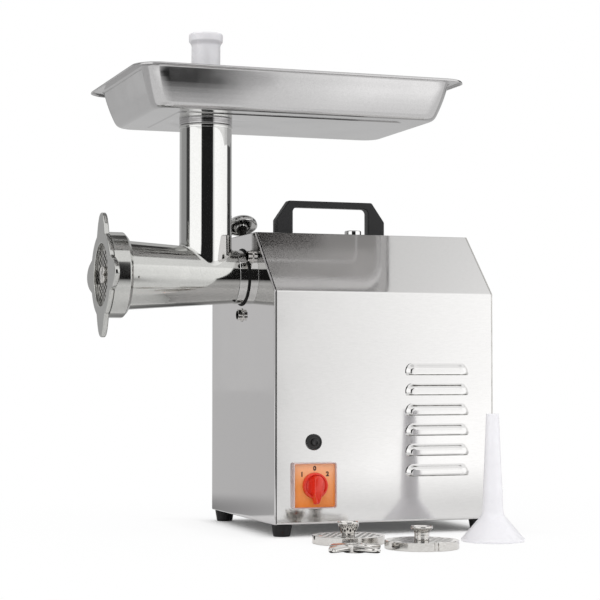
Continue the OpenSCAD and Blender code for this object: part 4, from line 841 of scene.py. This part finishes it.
ring = {"front": -272.8, "back": -247.5, "chamfer": -250.8, "radius": 44.5, "opening": 32.5, "thick": 5.5,
        "valley": 40, "tip": 64.5, "edge": 1.5, "mouthEdge": 0.9, "bore": 40.3, "seat": -269.1}
headPlace = placeAt((0, 0, barrel["axisZ"]), (0, 1, 0), (0, 0, 1), (1, 0, 0))


# four tips: valley + (tip - valley) times (cos 2a) squared to the power 2.2, never inside the ring's own body
def starRadius(a):
    reach = ring["valley"] + (ring["tip"] - ring["valley"]) * (np.cos(2 * a) ** 2) ** 2.2
    return np.maximum(reach, ring["radius"] + 0.05)


# retaining ring: its section walks from the opening over the face, round the star's edge, along the body and
# back
def ringShape(k, n=288):
    a = np.arange(n) * whole / n
    star, e, x0, o = starRadius(a), k["edge"], k["front"], k["opening"]
    b = k["mouthEdge"]
    rows = [(o, x0 + 3.7), (o, x0 + b)]
    rows += [(o + b - b * math.cos(t), x0 + b - b * math.sin(t)) for t in (0.5, 1.0, 1.57)]
    rows += [(o + b + (star - e - o - b) * s, x0) for s in (0.01, 0.1, 0.3, 0.5, 0.7, 0.9, 0.99, 1)]
    rows += [(star - e + e * math.sin(t), x0 + e - e * math.cos(t))
             for t in np.linspace(0.2, 1, 5) * math.pi / 2]
    rows += [(star - e + e * math.cos(t), x0 + k["thick"] - e + e * math.sin(t))
             for t in np.linspace(0, 1, 5) * math.pi / 2]
    r = k["radius"]
    bevel = k["chamfer"]
    rows += [(r, x0 + k["thick"] + 0.01), (r, x0 + k["thick"] + 0.3), (r, bevel - 0.8), (r, bevel - 0.4),
             (r - 0.12, bevel + 0.1), (r - 0.4, bevel + 0.4), (r - 3.0, k["back"] - 0.4),
             (r - 3.4, k["back"]), (k["bore"], k["back"]), (k["bore"], k["seat"]), (o, k["seat"])]
    pts = np.array([np.stack([q * np.cos(a), q * np.sin(a), np.full(n, float(x))], -1) for q, x in rows])
    return surface(put(pts, headPlace), wrapRows=True, wrapCols=True)


makePiece("star_ring", ringShape(ring), "ring", buffedCasting, ["retaining_ring"], 40)

plate = {"radius": 35, "thick": 8, "pitch": 6.6, "hole": 2.25, "bore": 5.05, "inner": 9.5,
         "outer": 32.5 - 2.25 - 0.8, "sink": 0.1, "notch": 2.4, "rimEdge": 0.4}


# hexagonal rows of holes between the bore and the rim: centre = pitch (i + j / 2, j sqrt 3 / 2)
def plateHoles(p):
    j, i = np.mgrid[-6:7, -6:7].reshape(2, -1)
    c = p["pitch"] * np.column_stack([i + j / 2, j * math.sqrt(3) / 2])
    far = np.hypot(*c.T)
    c = c[(far > p["inner"]) & (far < p["outer"]) & ~((c[:, 0] < -p["outer"] + 5) & (np.abs(c[:, 1]) < 3))]
    return np.concatenate([[[0, 0]], c]), np.concatenate([[p["bore"]], np.full(len(c), p["hole"])])


# perforated plate: each flat face is triangulated between its rim and its holes, and every hole is a turned
# wall with a countersink at both ends; the rim is a circle with a round notch at local -x
def plateShape(p, place, segments=20):
    centres, radii = plateHoles(p)
    e, t, k = p["sink"], p["thick"], p["rimEdge"]
    a = np.arange(360) * whole / 360
    depth = np.sqrt(np.clip(p["notch"] ** 2 - (p["radius"] * np.sin(a)) ** 2, 0, None)) * (np.cos(a) < 0)
    rimOf = lambda d: (p["radius"] - depth - d)[:, None] * np.column_stack([np.cos(a), np.sin(a)])
    b = np.arange(segments) * whole / segments
    circle = np.column_stack([np.cos(b), np.sin(b)])
    loops = [rimOf(k)] + [c + (r + e) * circle for c, r in zip(centres, radii)]
    starts = np.cumsum([0] + [len(l) for l in loops])
    edges = [(s + i, s + (i + 1) % len(l)) for s, l in zip(starts, loops) for i in range(len(l))]
    out = delaunay_2d_cdt([tuple(q) for q in np.concatenate(loops)], edges, [], 0, 1e-6)
    flat, tris = np.array([tuple(v) for v in out[0]]), np.array([list(f) for f in out[2]])
    mid = flat[tris].mean(1)
    keep = np.hypot(*mid.T) < p["radius"] - k
    keep &= ~((np.hypot(mid[:, 0] + p["radius"], mid[:, 1]) < p["notch"] + k - 0.05))
    gap = np.linalg.norm(mid[:, None] - centres[None], axis=2) - radii[None] - e * 0.9
    tris = tris[keep & (gap > 0).all(1)]
    low = put(np.column_stack([flat, np.zeros(len(flat))]), place)
    top = put(np.column_stack([flat, np.full(len(flat), t)]), place)
    wall = [(e, 0), (0, e), (0, t - e), (e, t)]
    tubes = [np.array([np.column_stack([c + (r + o) * circle, np.full(segments, h)]) for o, h in wall])
             for c, r in zip(centres, radii)]
    rim = np.array([np.column_stack([rimOf(o), np.full(360, h)])
                    for o, h in [(k, 0), (0, k), (0, t - k), (k, t)]])
    holes = [surface(put(tube, place), wrapCols=True) for tube in tubes]
    shape = joined((low, tris[:, ::-1]), (top, tris), surface(put(rim, place), wrapCols=True), *holes)
    bored = np.zeros(len(shape[1]), int)  # the middle strip of every hole's wall, which takes the painted shade
    bored[-3 * segments * len(holes):] = np.tile(np.repeat([0, 1, 0], segments), len(holes))
    return shape, bored


low, high = corners("cutting_plate")
headPlate = placeAt((low[0], 0, barrel["axisZ"]), (0, 0, -1), (0, 1, 0), (1, 0, 0))
shape, bored = plateShape(plate, headPlate)
# the middle of every hole's wall is near-black steel: painted shade inside the holes
makePiece("head_plate", shape, "plate", oiledToolSteel, ["cutting_plate"], 25,
          inner=(drilledSteel, bored))
# hub of the screw's nose in the plate's bore: a four-lobed collar whose gaps stay dark, round a domed pin
noseHub = roundPath([(4.9, -6), (4.9, 0.05), (9.6, 0.05), (9.2, 2.6), (6.4, 3.6), (4.6, 2.8), (3.4, 3.7),
                     (0, 3.8)],
                    [0, 0, 0.5, 1.0, 0.8, 0.8, 0.8, 0], 4)
nosePlace = placeAt((low[0], 0, barrel["axisZ"]), *towardsHead)
nose = {"notch": 0.42, "sharpness": 16, "pin": 4.5}
# outside the pin the radius shrinks by notch times (cos 2a) to a high power: four narrow gaps
lobes = lambda r, a, h: r * (1 - nose["notch"] * (np.cos(2 * a) ** nose["sharpness"]) * (r > nose["pin"]))
makePiece("nose_collar", lathe(noseHub, nosePlace, 96, lobes), "plate", buffedToolSteel)
print("head made")

trayLow, trayHigh = corners("tray")
tray = {"rim": 12, "flare": 13, "sheet": 1.0, "corner": 26, "bend": 8, "rimBend": 2.2, "rimDrop": 1.9,
        "crown": 0.9, "stepIn": 23, "stepEnds": 7, "stepUp": -0.9, "stepWide": 1.6, "floor": 428.6,
        "tubeX": feed["x"], "tubeRadius": 26.2, "spigot": 24.7, "spigotEnd": trayLow[2], "collar": 27.9,
        "collarLow": 424.4}


# pan: one surface of rounded rectangles. From the spigot's circle the floor runs out, with a shallow pressed
# step, into the bend, the wall (crowned outwards by a parabola) and the rolled rim
def trayShape(t):
    n, between = 12, np.concatenate([[0.003], np.arange(1, 24) / 24, [0.997]])
    length, width = trayHigh[0] - trayLow[0], trayHigh[1] - trayLow[1]
    lip = t["rim"] + t["flare"]
    edge = lip - t["sheet"]  # the sheet's thickness goes outwards at the rolled rim
    l0, w0, high = length - 2 * lip, width - 2 * lip, trayHigh[2] - t["floor"]
    floorPath = [(-t["stepIn"] - t["stepWide"] - 4, t["stepUp"]), (-t["stepIn"] - t["stepWide"], t["stepUp"]),
                 (-t["stepIn"], 0), (0, 0)]
    section = roundPath(floorPath + [(t["flare"], high - 0.1), (edge - 0.4, high - 0.1),
                                     (edge, high - t["rimDrop"])],
                        [0, 1.4, 1.4, t["bend"], t["rimBend"], 0.9, 0], 8)
    section = held(refine(section, 5))
    rise = (section[:, 1] - 4) / (high - 8)
    onWall = (section[:, 0] > 1) & (section[:, 0] < t["flare"]) & (rise > 0) & (rise < 1)
    section[:, 0] += np.where(onWall, t["crown"] * 4 * rise * (1 - rise), 0)
    loops = []
    for grow, z in section:
        r = np.interp(grow, [-30, 0, t["flare"], lip], [6, 18, 22, t["corner"]])
        shorter = np.interp(grow, [-t["stepIn"], -8], [2 * t["stepEnds"], 0])
        arcs = roundRect(l0 + 2 * grow - shorter, w0 + 2 * grow, r, n).reshape(4, n + 1, 2)
        starts, ends = np.roll(arcs[:, 0], -1, 0), arcs[:, -1]
        sides = ends[:, None] + (starts - ends)[:, None] * between[None, :, None]
        loop = np.concatenate([arcs, sides], 1).reshape(-1, 2)
        loops.append(np.column_stack([loop, np.full(len(loop), t["floor"] + z)]))
    outer = np.array(loops)
    outer[..., 0] += (trayLow[0] + trayHigh[0]) / 2
    rel = outer[0, :, :2] - (t["tubeX"], 0)
    angle = np.arctan2(rel[:, 1], rel[:, 0])
    ringAt = lambda r, z: np.column_stack([t["tubeX"] + r * np.cos(angle), r * np.sin(angle),
                                           np.full(len(angle), z)])
    # the pressing never reaches the spigot: near the tube the floor comes back up
    blend = np.linspace(0, 1, 10)[:-1, None, None]
    floor = ringAt(t["tubeRadius"], t["floor"]) * (1 - blend) + outer[0] * blend
    fromTube = np.hypot(floor[..., 0] - t["tubeX"], floor[..., 1])
    floor[..., 2] = t["floor"] + t["stepUp"] * np.clip((fromTube - 34) / 5, 0, 1)
    down = roundPath([(t["tubeRadius"], t["floor"]), (t["spigot"], t["floor"]),
                      (t["spigot"], t["spigotEnd"])],
                     [0, 1.4, 0], 6)[1:]
    spigot = np.array([ringAt(r, z) for r, z in down[::-1]])
    return surface(np.concatenate([spigot, floor, outer]), wrapCols=True)


pan = facing(trayShape(tray), (0, 0, -1))
makePiece("pan_tray", pan, "tray", drawnSheet, ["tray"], 50, outward=False,
          wall=tray["sheet"])
inside, outside, top, under = tray["spigot"] + 0.2, tray["collar"], tray["floor"] - 0.1, tray["collarLow"]
collar = roundPath([(inside, top), (outside, top), (outside, under), (inside, under)],
                   [0, 0, 0.8, 0.3], 4, True)
makePiece("tray_collar", lathe(collar, placeAt((feed["x"], 0, 0)), 96), "tray", drawnSheet)

pusherLow, pusherHigh = corners("pusher")
pusher = {"radius": 15.25, "lip": 2.75, "foot": 22, "wall": 2.2}


# pusher: foot disc, hollow shaft and flared lip, turned round its axis
def pusherShape(p):
    r, f, l, w = p["radius"], p["foot"], pusherHigh[2] - pusherLow[2], p["wall"]
    path = roundPath([(0, 0), (f, 0), (f, 9), (r, 16), (r, l - 12), (r + p["lip"], l - 8), (r + p["lip"], l),
                      (r - w, l), (r - w, 18), (0, 18)], [0, 1.2, 1.5, 3, 5, 1.8, 1.6, 1.0, 3, 0], 6)
    return lathe(path, placeAt((feed["x"], 0, pusherLow[2])), 96)


makePiece("meat_pusher", pusherShape(pusher), "pusher", pusherPlastic, ["pusher"], 40)
print("tray and pusher made")

funnelLow, funnelHigh = corners("stuffing_funnel")
funnel = {"wall": 1.6, "waist": 10.5, "cone": 26, "mouth": 6.2, "flange": 3}


# funnel: flange, steep cone and slim spout, one closed section turned round its axis
def funnelShape(f):
    x, y = (funnelLow[:2] + funnelHigh[:2]) / 2
    r, w, high = (funnelHigh[0] - funnelLow[0]) / 2, f["wall"], funnelHigh[2]
    path = roundPath([(r - w - 0.8, 0), (r, 0), (r, f["flange"]), (r - 0.8, f["flange"]),
                      (f["waist"], f["cone"]), (f["mouth"], high), (f["mouth"] - w, high),
                      (f["waist"] - w, f["cone"] - 1), (r - w - 0.8, f["flange"])],
                     [0.4, 0.8, 0.4, 0.5, 12, 0.6, 0.3, 11, 0.5], 8, True)
    return lathe(path, placeAt((x, y, 0)), 128, loop=True)


makePiece("sausage_funnel", funnelShape(funnel), "funnel", funnelPlastic,
          ["stuffing_funnel"], 40)

# outer side of each flared hub, (radius, height), from its foot to its rim, and its turn on the floor
hubs = {
    "a": ([(6.4, 0), (6.5, 1.8), (8.2, 5.0), (9.8, 8.6), (10.5, 11.0), (10.5, 12.9)], 0.0),
    "b": ([(7.2, 0), (7.1, 4.0), (7.3, 8.0), (10.1, 10.4), (10.4, 11.4), (10.4, 12.9)], 90.0),
}
for name, (side, degrees) in hubs.items():
    low, high = corners("spare_plate_" + name)
    x, y = (low[:2] + high[:2]) / 2
    shape, bored = plateShape(plate, turned((x, y, 0), degrees))
    # the middle of every hole's wall is near-black steel: painted shade inside the holes
    makePiece("loose_plate_" + name, shape, "plate_" + name, buffedToolSteel,
              ["spare_plate_" + name], 25, inner=(drilledSteel, bored))
    section = roundPath([(5.1, 0)] + side + [(9.2, 12.9), (8.2, 10.5), (5.1, 7.5)],
                        [0, 0.4, 1.0, 3.0, 3.0, 1.0, 0.7, 0.6, 1.2, 0.8], 5, True)
    makePiece("flared_hub_" + name, lathe(section, turned((x, y, plate["thick"] + 0.05), degrees), 96,
                                          loop=True),
              "plate_" + name, buffedToolSteel)

knife = {"turn": 20, "radius": 29.95, "hub": 11, "thick": 8, "bore": 5.8, "root": 6.6, "tip": 5.4,
         "lift": 1.2, "sweep": 3.2}


# one blade: along it u = 0..1 from the hub to the tip; the middle line swings by sweep times u squared, the
# underside leaves the floor by lift within a third of the length, and the top is crowned and falls towards
# the back edge
def bladeShape(k, place, degrees):
    u = np.concatenate([np.linspace(0, 0.92, 14), [0.96, 0.985, 1.0]])
    taper = np.where(u > 0.9, np.sqrt(np.clip(1 - ((u - 0.9) / 0.1) ** 2 * 0.75, 0, 1)), 1)
    v = np.arange(24) * whole / 24
    across = np.sign(np.cos(v)) * np.abs(np.cos(v)) ** 0.6
    up = 0.5 + 0.5 * np.sign(np.sin(v)) * np.abs(np.sin(v)) ** 0.6
    r = k["hub"] - 4 + (k["radius"] - 0.2 - k["hub"] + 4) * u
    half = (k["root"] + (k["tip"] - k["root"]) * u) * taper
    y = k["sweep"] * u[:, None] ** 2 - k["sweep"] * 0.5 + half[:, None] * across[None]
    bottom = k["lift"] * np.clip(u[:, None] / 0.33, 0, 1) ** 0.7 + 0.1
    top = k["thick"] - 0.3 - 1.6 * u[:, None] ** 2 - 1.5 * ((across[None] + 1) / 2) ** 1.4
    z = bottom + (top - bottom) * up[None]
    a = math.radians(degrees)
    x = np.repeat(r[:, None], len(across), 1)
    pts = np.stack([x * math.cos(a) - y * math.sin(a), x * math.sin(a) + y * math.cos(a), z], -1)
    ends = [end * 0 + end.mean(1, keepdims=True) for end in (pts[:1], pts[-1:])]
    rows = np.concatenate([ends[0], pts, ends[1]])
    raw = np.tile((up + np.roll(up, -1) < 0.75).astype(int), len(rows) - 1)  # the underside faces take near-black steel: painted shade under the blades
    return surface(put(rows, place), wrapCols=True), raw


low, high = corners("spare_knife")
knifePlace = turned(((low[0] + high[0]) / 2, (low[1] + high[1]) / 2, 0), knife["turn"])
blades, raw = zip(*[bladeShape(knife, knifePlace, d) for d in (0, 90, 180, 270)])
boss = roundPath([(knife["bore"], 0), (knife["hub"] - 0.6, 0), (knife["hub"], 7.9),
                  (knife["bore"] + 1.2, 7.9), (knife["bore"], 6.8)], [0, 0.8, 1.4, 0.5, 0], 5, True)
boss = lathe(boss, knifePlace, 72, loop=True)
makePiece("loose_knife", joined(*blades, boss), "knife", buffedToolSteel, ["spare_knife"], 40,
          inner=(drilledSteel, np.concatenate([*raw, np.zeros(len(boss[1]), int)])))
print("loose parts made")

view = {"lens": 106.72, "sensor": 36.0, "at": (-0.6847, -1.79805, 0.1665),
        "towards": (0.3305, 0.9430, 0.0395)}
camera = bpy.data.objects.new("camera", bpy.data.cameras.new("camera"))
bpy.context.scene.collection.objects.link(camera)
camera.data.lens, camera.data.sensor_width = view["lens"], view["sensor"]
camera.data.clip_start, camera.data.clip_end = 0.05, 100.0
camera.location = view["at"]
camera.rotation_mode = "QUATERNION"
camera.rotation_quaternion = Vector(view["towards"]).to_track_quat("-Z", "Y")
bpy.context.scene.camera = camera
bpy.context.scene.view_settings.view_transform = "Standard"

# the set as polished metal alone sees it, fitted to one view: softboxes and dark flags by compass direction
# in degrees, from -Y towards +X, below and above the softboxes' lower edge. The camera and clear pieces see
# plain white; matt is the level that matt surfaces are lit by, and places are in metres
studio = {
    "matt": 0.90,
    "low": [(-180, 0.44), (-166, 0.46), (-163.5, 0.66), (-160, 0.66), (-150, 0.38), (-112, 0.36),
            (-108, 0.06), (-92, 0.06), (-89, 1.36), (-36, 1.36), (-34, 0.015), (16.2, 0.015), (17.2, 0.84),
            (19, 1.0), (27, 1.42), (92, 1.3), (96, 0.08), (124, 0.10), (132, 0.58), (180, 0.44)],
    "high": [(-180, 0.60), (-110, 0.66), (-90, 1.1), (90, 1.1), (110, 0.75), (180, 0.60)],
    "top": 0.78, "topBehind": 0.25, "from": -0.145,
    # near is the table's tone for polished metal; shade, dusk and behind are painted shadows below the head
    # and behind the housing
    "near": 0.92, "shade": 0.42, "shadeAt": (-0.20, -0.12, 0), "dusk": 0.16, "duskAt": (0.06, 0.32, 0),
    "behind": 0.56, "behindFar": 0.60, "tableFade": (0.48, 1.2),
    "footprint": (0.118, 0.108), "floorHalf": 12, "floorZ": -0.0002,
    "lamps": {"key_softbox": ((-1.6, -1.6, 2.2), (1.6, 1.2), 15),
              "fill_softbox": ((2.0, -1.2, 1.6), (1.4, 1.4), 8)},
    "aim": (0, 0, 0.2),
}


# brightness of the set by compass direction: the angle of (x, -y) read off one of the two rings of softboxes
def ringOfLight(tree, x, y, ring):
    minusY = addNode(tree, "Math", {0: y, 1: -1.0}, operation="MULTIPLY")
    compass = addNode(tree, "Math", {0: x, 1: minusY}, operation="ARCTAN2")
    around = addNode(tree, "MapRange", {"Value": compass, "From Min": -math.pi, "From Max": math.pi})
    return addNode(tree, "ValToRGB", {"Fac": around}, stops=[((a + 180) / 360, v) for a, v in studio[ring]])


def makeWorld():
    world = bpy.data.worlds.new("studio")
    bpy.context.scene.world = world
    world.use_nodes = True
    tree = world.node_tree
    tree.nodes.clear()
    look = addNode(tree, "SeparateXYZ", {0: addNode(tree, "TexCoord").outputs["Generated"]}).outputs
    lowRing, highRing = [ringOfLight(tree, look["X"], look["Y"], key) for key in ("low", "high")]
    overLow = addNode(tree, "MapRange", {"Value": look["Z"], "From Min": 0.52, "From Max": 0.55})
    overHigh = addNode(tree, "MapRange", {"Value": look["Z"], "From Min": 0.90, "From Max": 0.93})
    sides = addNode(tree, "Mix", {0: overLow, 6: lowRing, 7: highRing}, data_type="RGBA")
    over = addNode(tree, "MapRange", {"Value": look["Y"], "From Min": 0.10, "From Max": 0.24,
                                      "To Min": studio["top"], "To Max": studio["topBehind"]})
    mirrored = addNode(tree, "Mix", {0: overHigh, 6: sides, 7: over}, data_type="RGBA")
    rays = addNode(tree, "LightPath").outputs
    matt = addNode(tree, "Background", {"Color": "#ffffff", "Strength": studio["matt"]})
    mirror = addNode(tree, "Background", {"Color": mirrored})
    white = addNode(tree, "Background", {"Color": "#ffffff", "Strength": 1.0})
    seen = addNode(tree, "Math", {0: rays["Is Camera Ray"], 1: rays["Is Transmission Ray"]},
                   operation="MAXIMUM")
    lit = addNode(tree, "MixShader", {0: rays["Is Glossy Ray"], 1: matt, 2: mirror})
    addNode(tree, "OutputWorld", {"Surface": addNode(tree, "MixShader", {0: seen, 1: lit, 2: white})})


def addLamp(name, at, size, power):
    lamp = bpy.data.lights.new(name, "AREA")
    lamp.shape, lamp.size, lamp.size_y, lamp.energy = "RECTANGLE", size[0], size[1], power
    item = bpy.data.objects.new(name, lamp)
    bpy.context.scene.collection.objects.link(item)
    item.location, item.rotation_mode = at, "QUATERNION"
    item.rotation_quaternion = (Vector(studio["aim"]) - Vector(at)).to_track_quat("-Z", "Y")
    item.visible_glossy = item.visible_camera = False


# pale floor: matt paper that carries the shadows near the object and runs out to white. Polished metal sees
# a pale table as far as its front edge, with painted shadows on it: a darker patch below the head, grey
# behind the housing and a darker patch there; past the edge it sees the set's own dark and light zones
def floorPaint():
    material, tree, at = startMaterial("matt_white_paper")
    place = addNode(tree, "SeparateXYZ", {0: at}).outputs
    rays = addNode(tree, "LightPath").outputs
    fine = addNode(tree, "TexNoise", {"Vector": at, "Scale": 1000 / 8, "Detail": 2.0})
    paper = addNode(tree, "Mix", {0: fine, 6: "#fafafa", 7: "#fdfdfd"}, data_type="RGBA")
    away = addNode(tree, "VectorMath", {0: at}, operation="LENGTH")
    toEdge = addNode(tree, "MapRange", {"Value": place["Y"], "From Min": -studio["tableFade"][0],
                                        "From Max": -studio["tableFade"][1]})
    behind = addNode(tree, "MapRange", {"Value": place["Y"], "From Min": 0.13, "From Max": 0.16})
    farBehind = addNode(tree, "MapRange", {"Value": away, "From Min": 0.45, "From Max": 0.60})
    back = addNode(tree, "MapRange", {"Value": farBehind, "To Min": studio["behind"],
                                      "To Max": studio["behindFar"]})
    # painted shadows that polished metal sees: darker below the head, grey behind the housing and darker
    # there
    fromHead = addNode(tree, "VectorMath", {0: at, 1: studio["shadeAt"]}, operation="DISTANCE")
    front = addNode(tree, "MapRange", {"Value": fromHead, "From Min": 0.06, "From Max": 0.34,
                                       "To Min": studio["shade"], "To Max": studio["near"]},
                    interpolation_type="SMOOTHSTEP")
    fromDusk = addNode(tree, "VectorMath", {0: at, 1: studio["duskAt"]}, operation="DISTANCE")
    dusk = addNode(tree, "MapRange", {"Value": fromDusk, "From Min": 0.08, "From Max": 0.40,
                                      "To Min": studio["dusk"]}, interpolation_type="SMOOTHSTEP")
    shaded = addNode(tree, "Math", {0: back, 1: dusk}, operation="MULTIPLY")
    table = addNode(tree, "Mix", {0: behind, 6: front, 7: shaded}, data_type="RGBA")
    fromX = addNode(tree, "Math", {0: place["X"], 1: -studio["from"]}, operation="ADD")
    zones = ringOfLight(tree, fromX, place["Y"], "low")
    mirrored = addNode(tree, "Mix", {0: toEdge, 6: table, 7: zones}, data_type="RGBA")
    matt = addNode(tree, "BsdfDiffuse", {"Color": paper})
    glow = addNode(tree, "Emission", {"Color": mirrored})
    white = addNode(tree, "Emission", {"Color": "#ffffff", "Strength": 1.0})
    # distance outside the housing's footprint: the larger of |x| - half its length and |y| - half its width
    beside = [addNode(tree, "Math", {0: addNode(tree, "Math", {0: place[k]}, operation="ABSOLUTE"), 1: half},
                      operation="SUBTRACT") for k, half in zip("XY", studio["footprint"])]
    outside = addNode(tree, "Math", {0: beside[0], 1: beside[1]}, operation="MAXIMUM")
    runOff = addNode(tree, "MapRange", {"Value": outside, "From Min": 0.0, "From Max": 0.4})
    fade = addNode(tree, "ValToRGB", {"Fac": runOff}, stops=[(0, 0.08), (0.05, 0.74), (0.16, 0.93), (1, 1.0)])
    direct = addNode(tree, "Math", {0: rays["Is Camera Ray"], 1: rays["Is Transmission Ray"]},
                     operation="MAXIMUM")
    runOut = addNode(tree, "Math", {0: direct, 1: fade}, operation="MULTIPLY")
    seen = addNode(tree, "MixShader", {0: runOut, 1: matt, 2: white})
    # close to the machine polished metal sees the paper with its shadows, further off the set
    openAir = addNode(tree, "MapRange", {"Value": away, "From Min": 0.30, "From Max": 0.48})
    openOrBack = addNode(tree, "Math", {0: openAir, 1: behind}, operation="MAXIMUM")
    reflected = addNode(tree, "Math", {0: rays["Is Glossy Ray"], 1: rays["Is Transmission Ray"]},
                        operation="SUBTRACT", use_clamp=True)
    share = addNode(tree, "Math", {0: reflected, 1: openOrBack}, operation="MULTIPLY")
    addNode(tree, "OutputMaterial", {"Surface": addNode(tree, "MixShader", {0: share, 1: seen, 2: glow})})
    return material


makeWorld()
for name, (at, size, power) in studio["lamps"].items():
    addLamp(name, at, size, power)
floorMesh = bpy.data.meshes.new("floor")
sheetCorners = [(x * studio["floorHalf"], y * studio["floorHalf"], studio["floorZ"])
                for x, y in ((-1, -1), (1, -1), (1, 1), (-1, 1))]
floorMesh.from_pydata(sheetCorners, [], [(0, 1, 2, 3)])
floorMesh.materials.append(floorPaint())
floor = bpy.data.objects.new("floor", floorMesh)
bpy.context.scene.collection.objects.link(floor)
print("studio made")
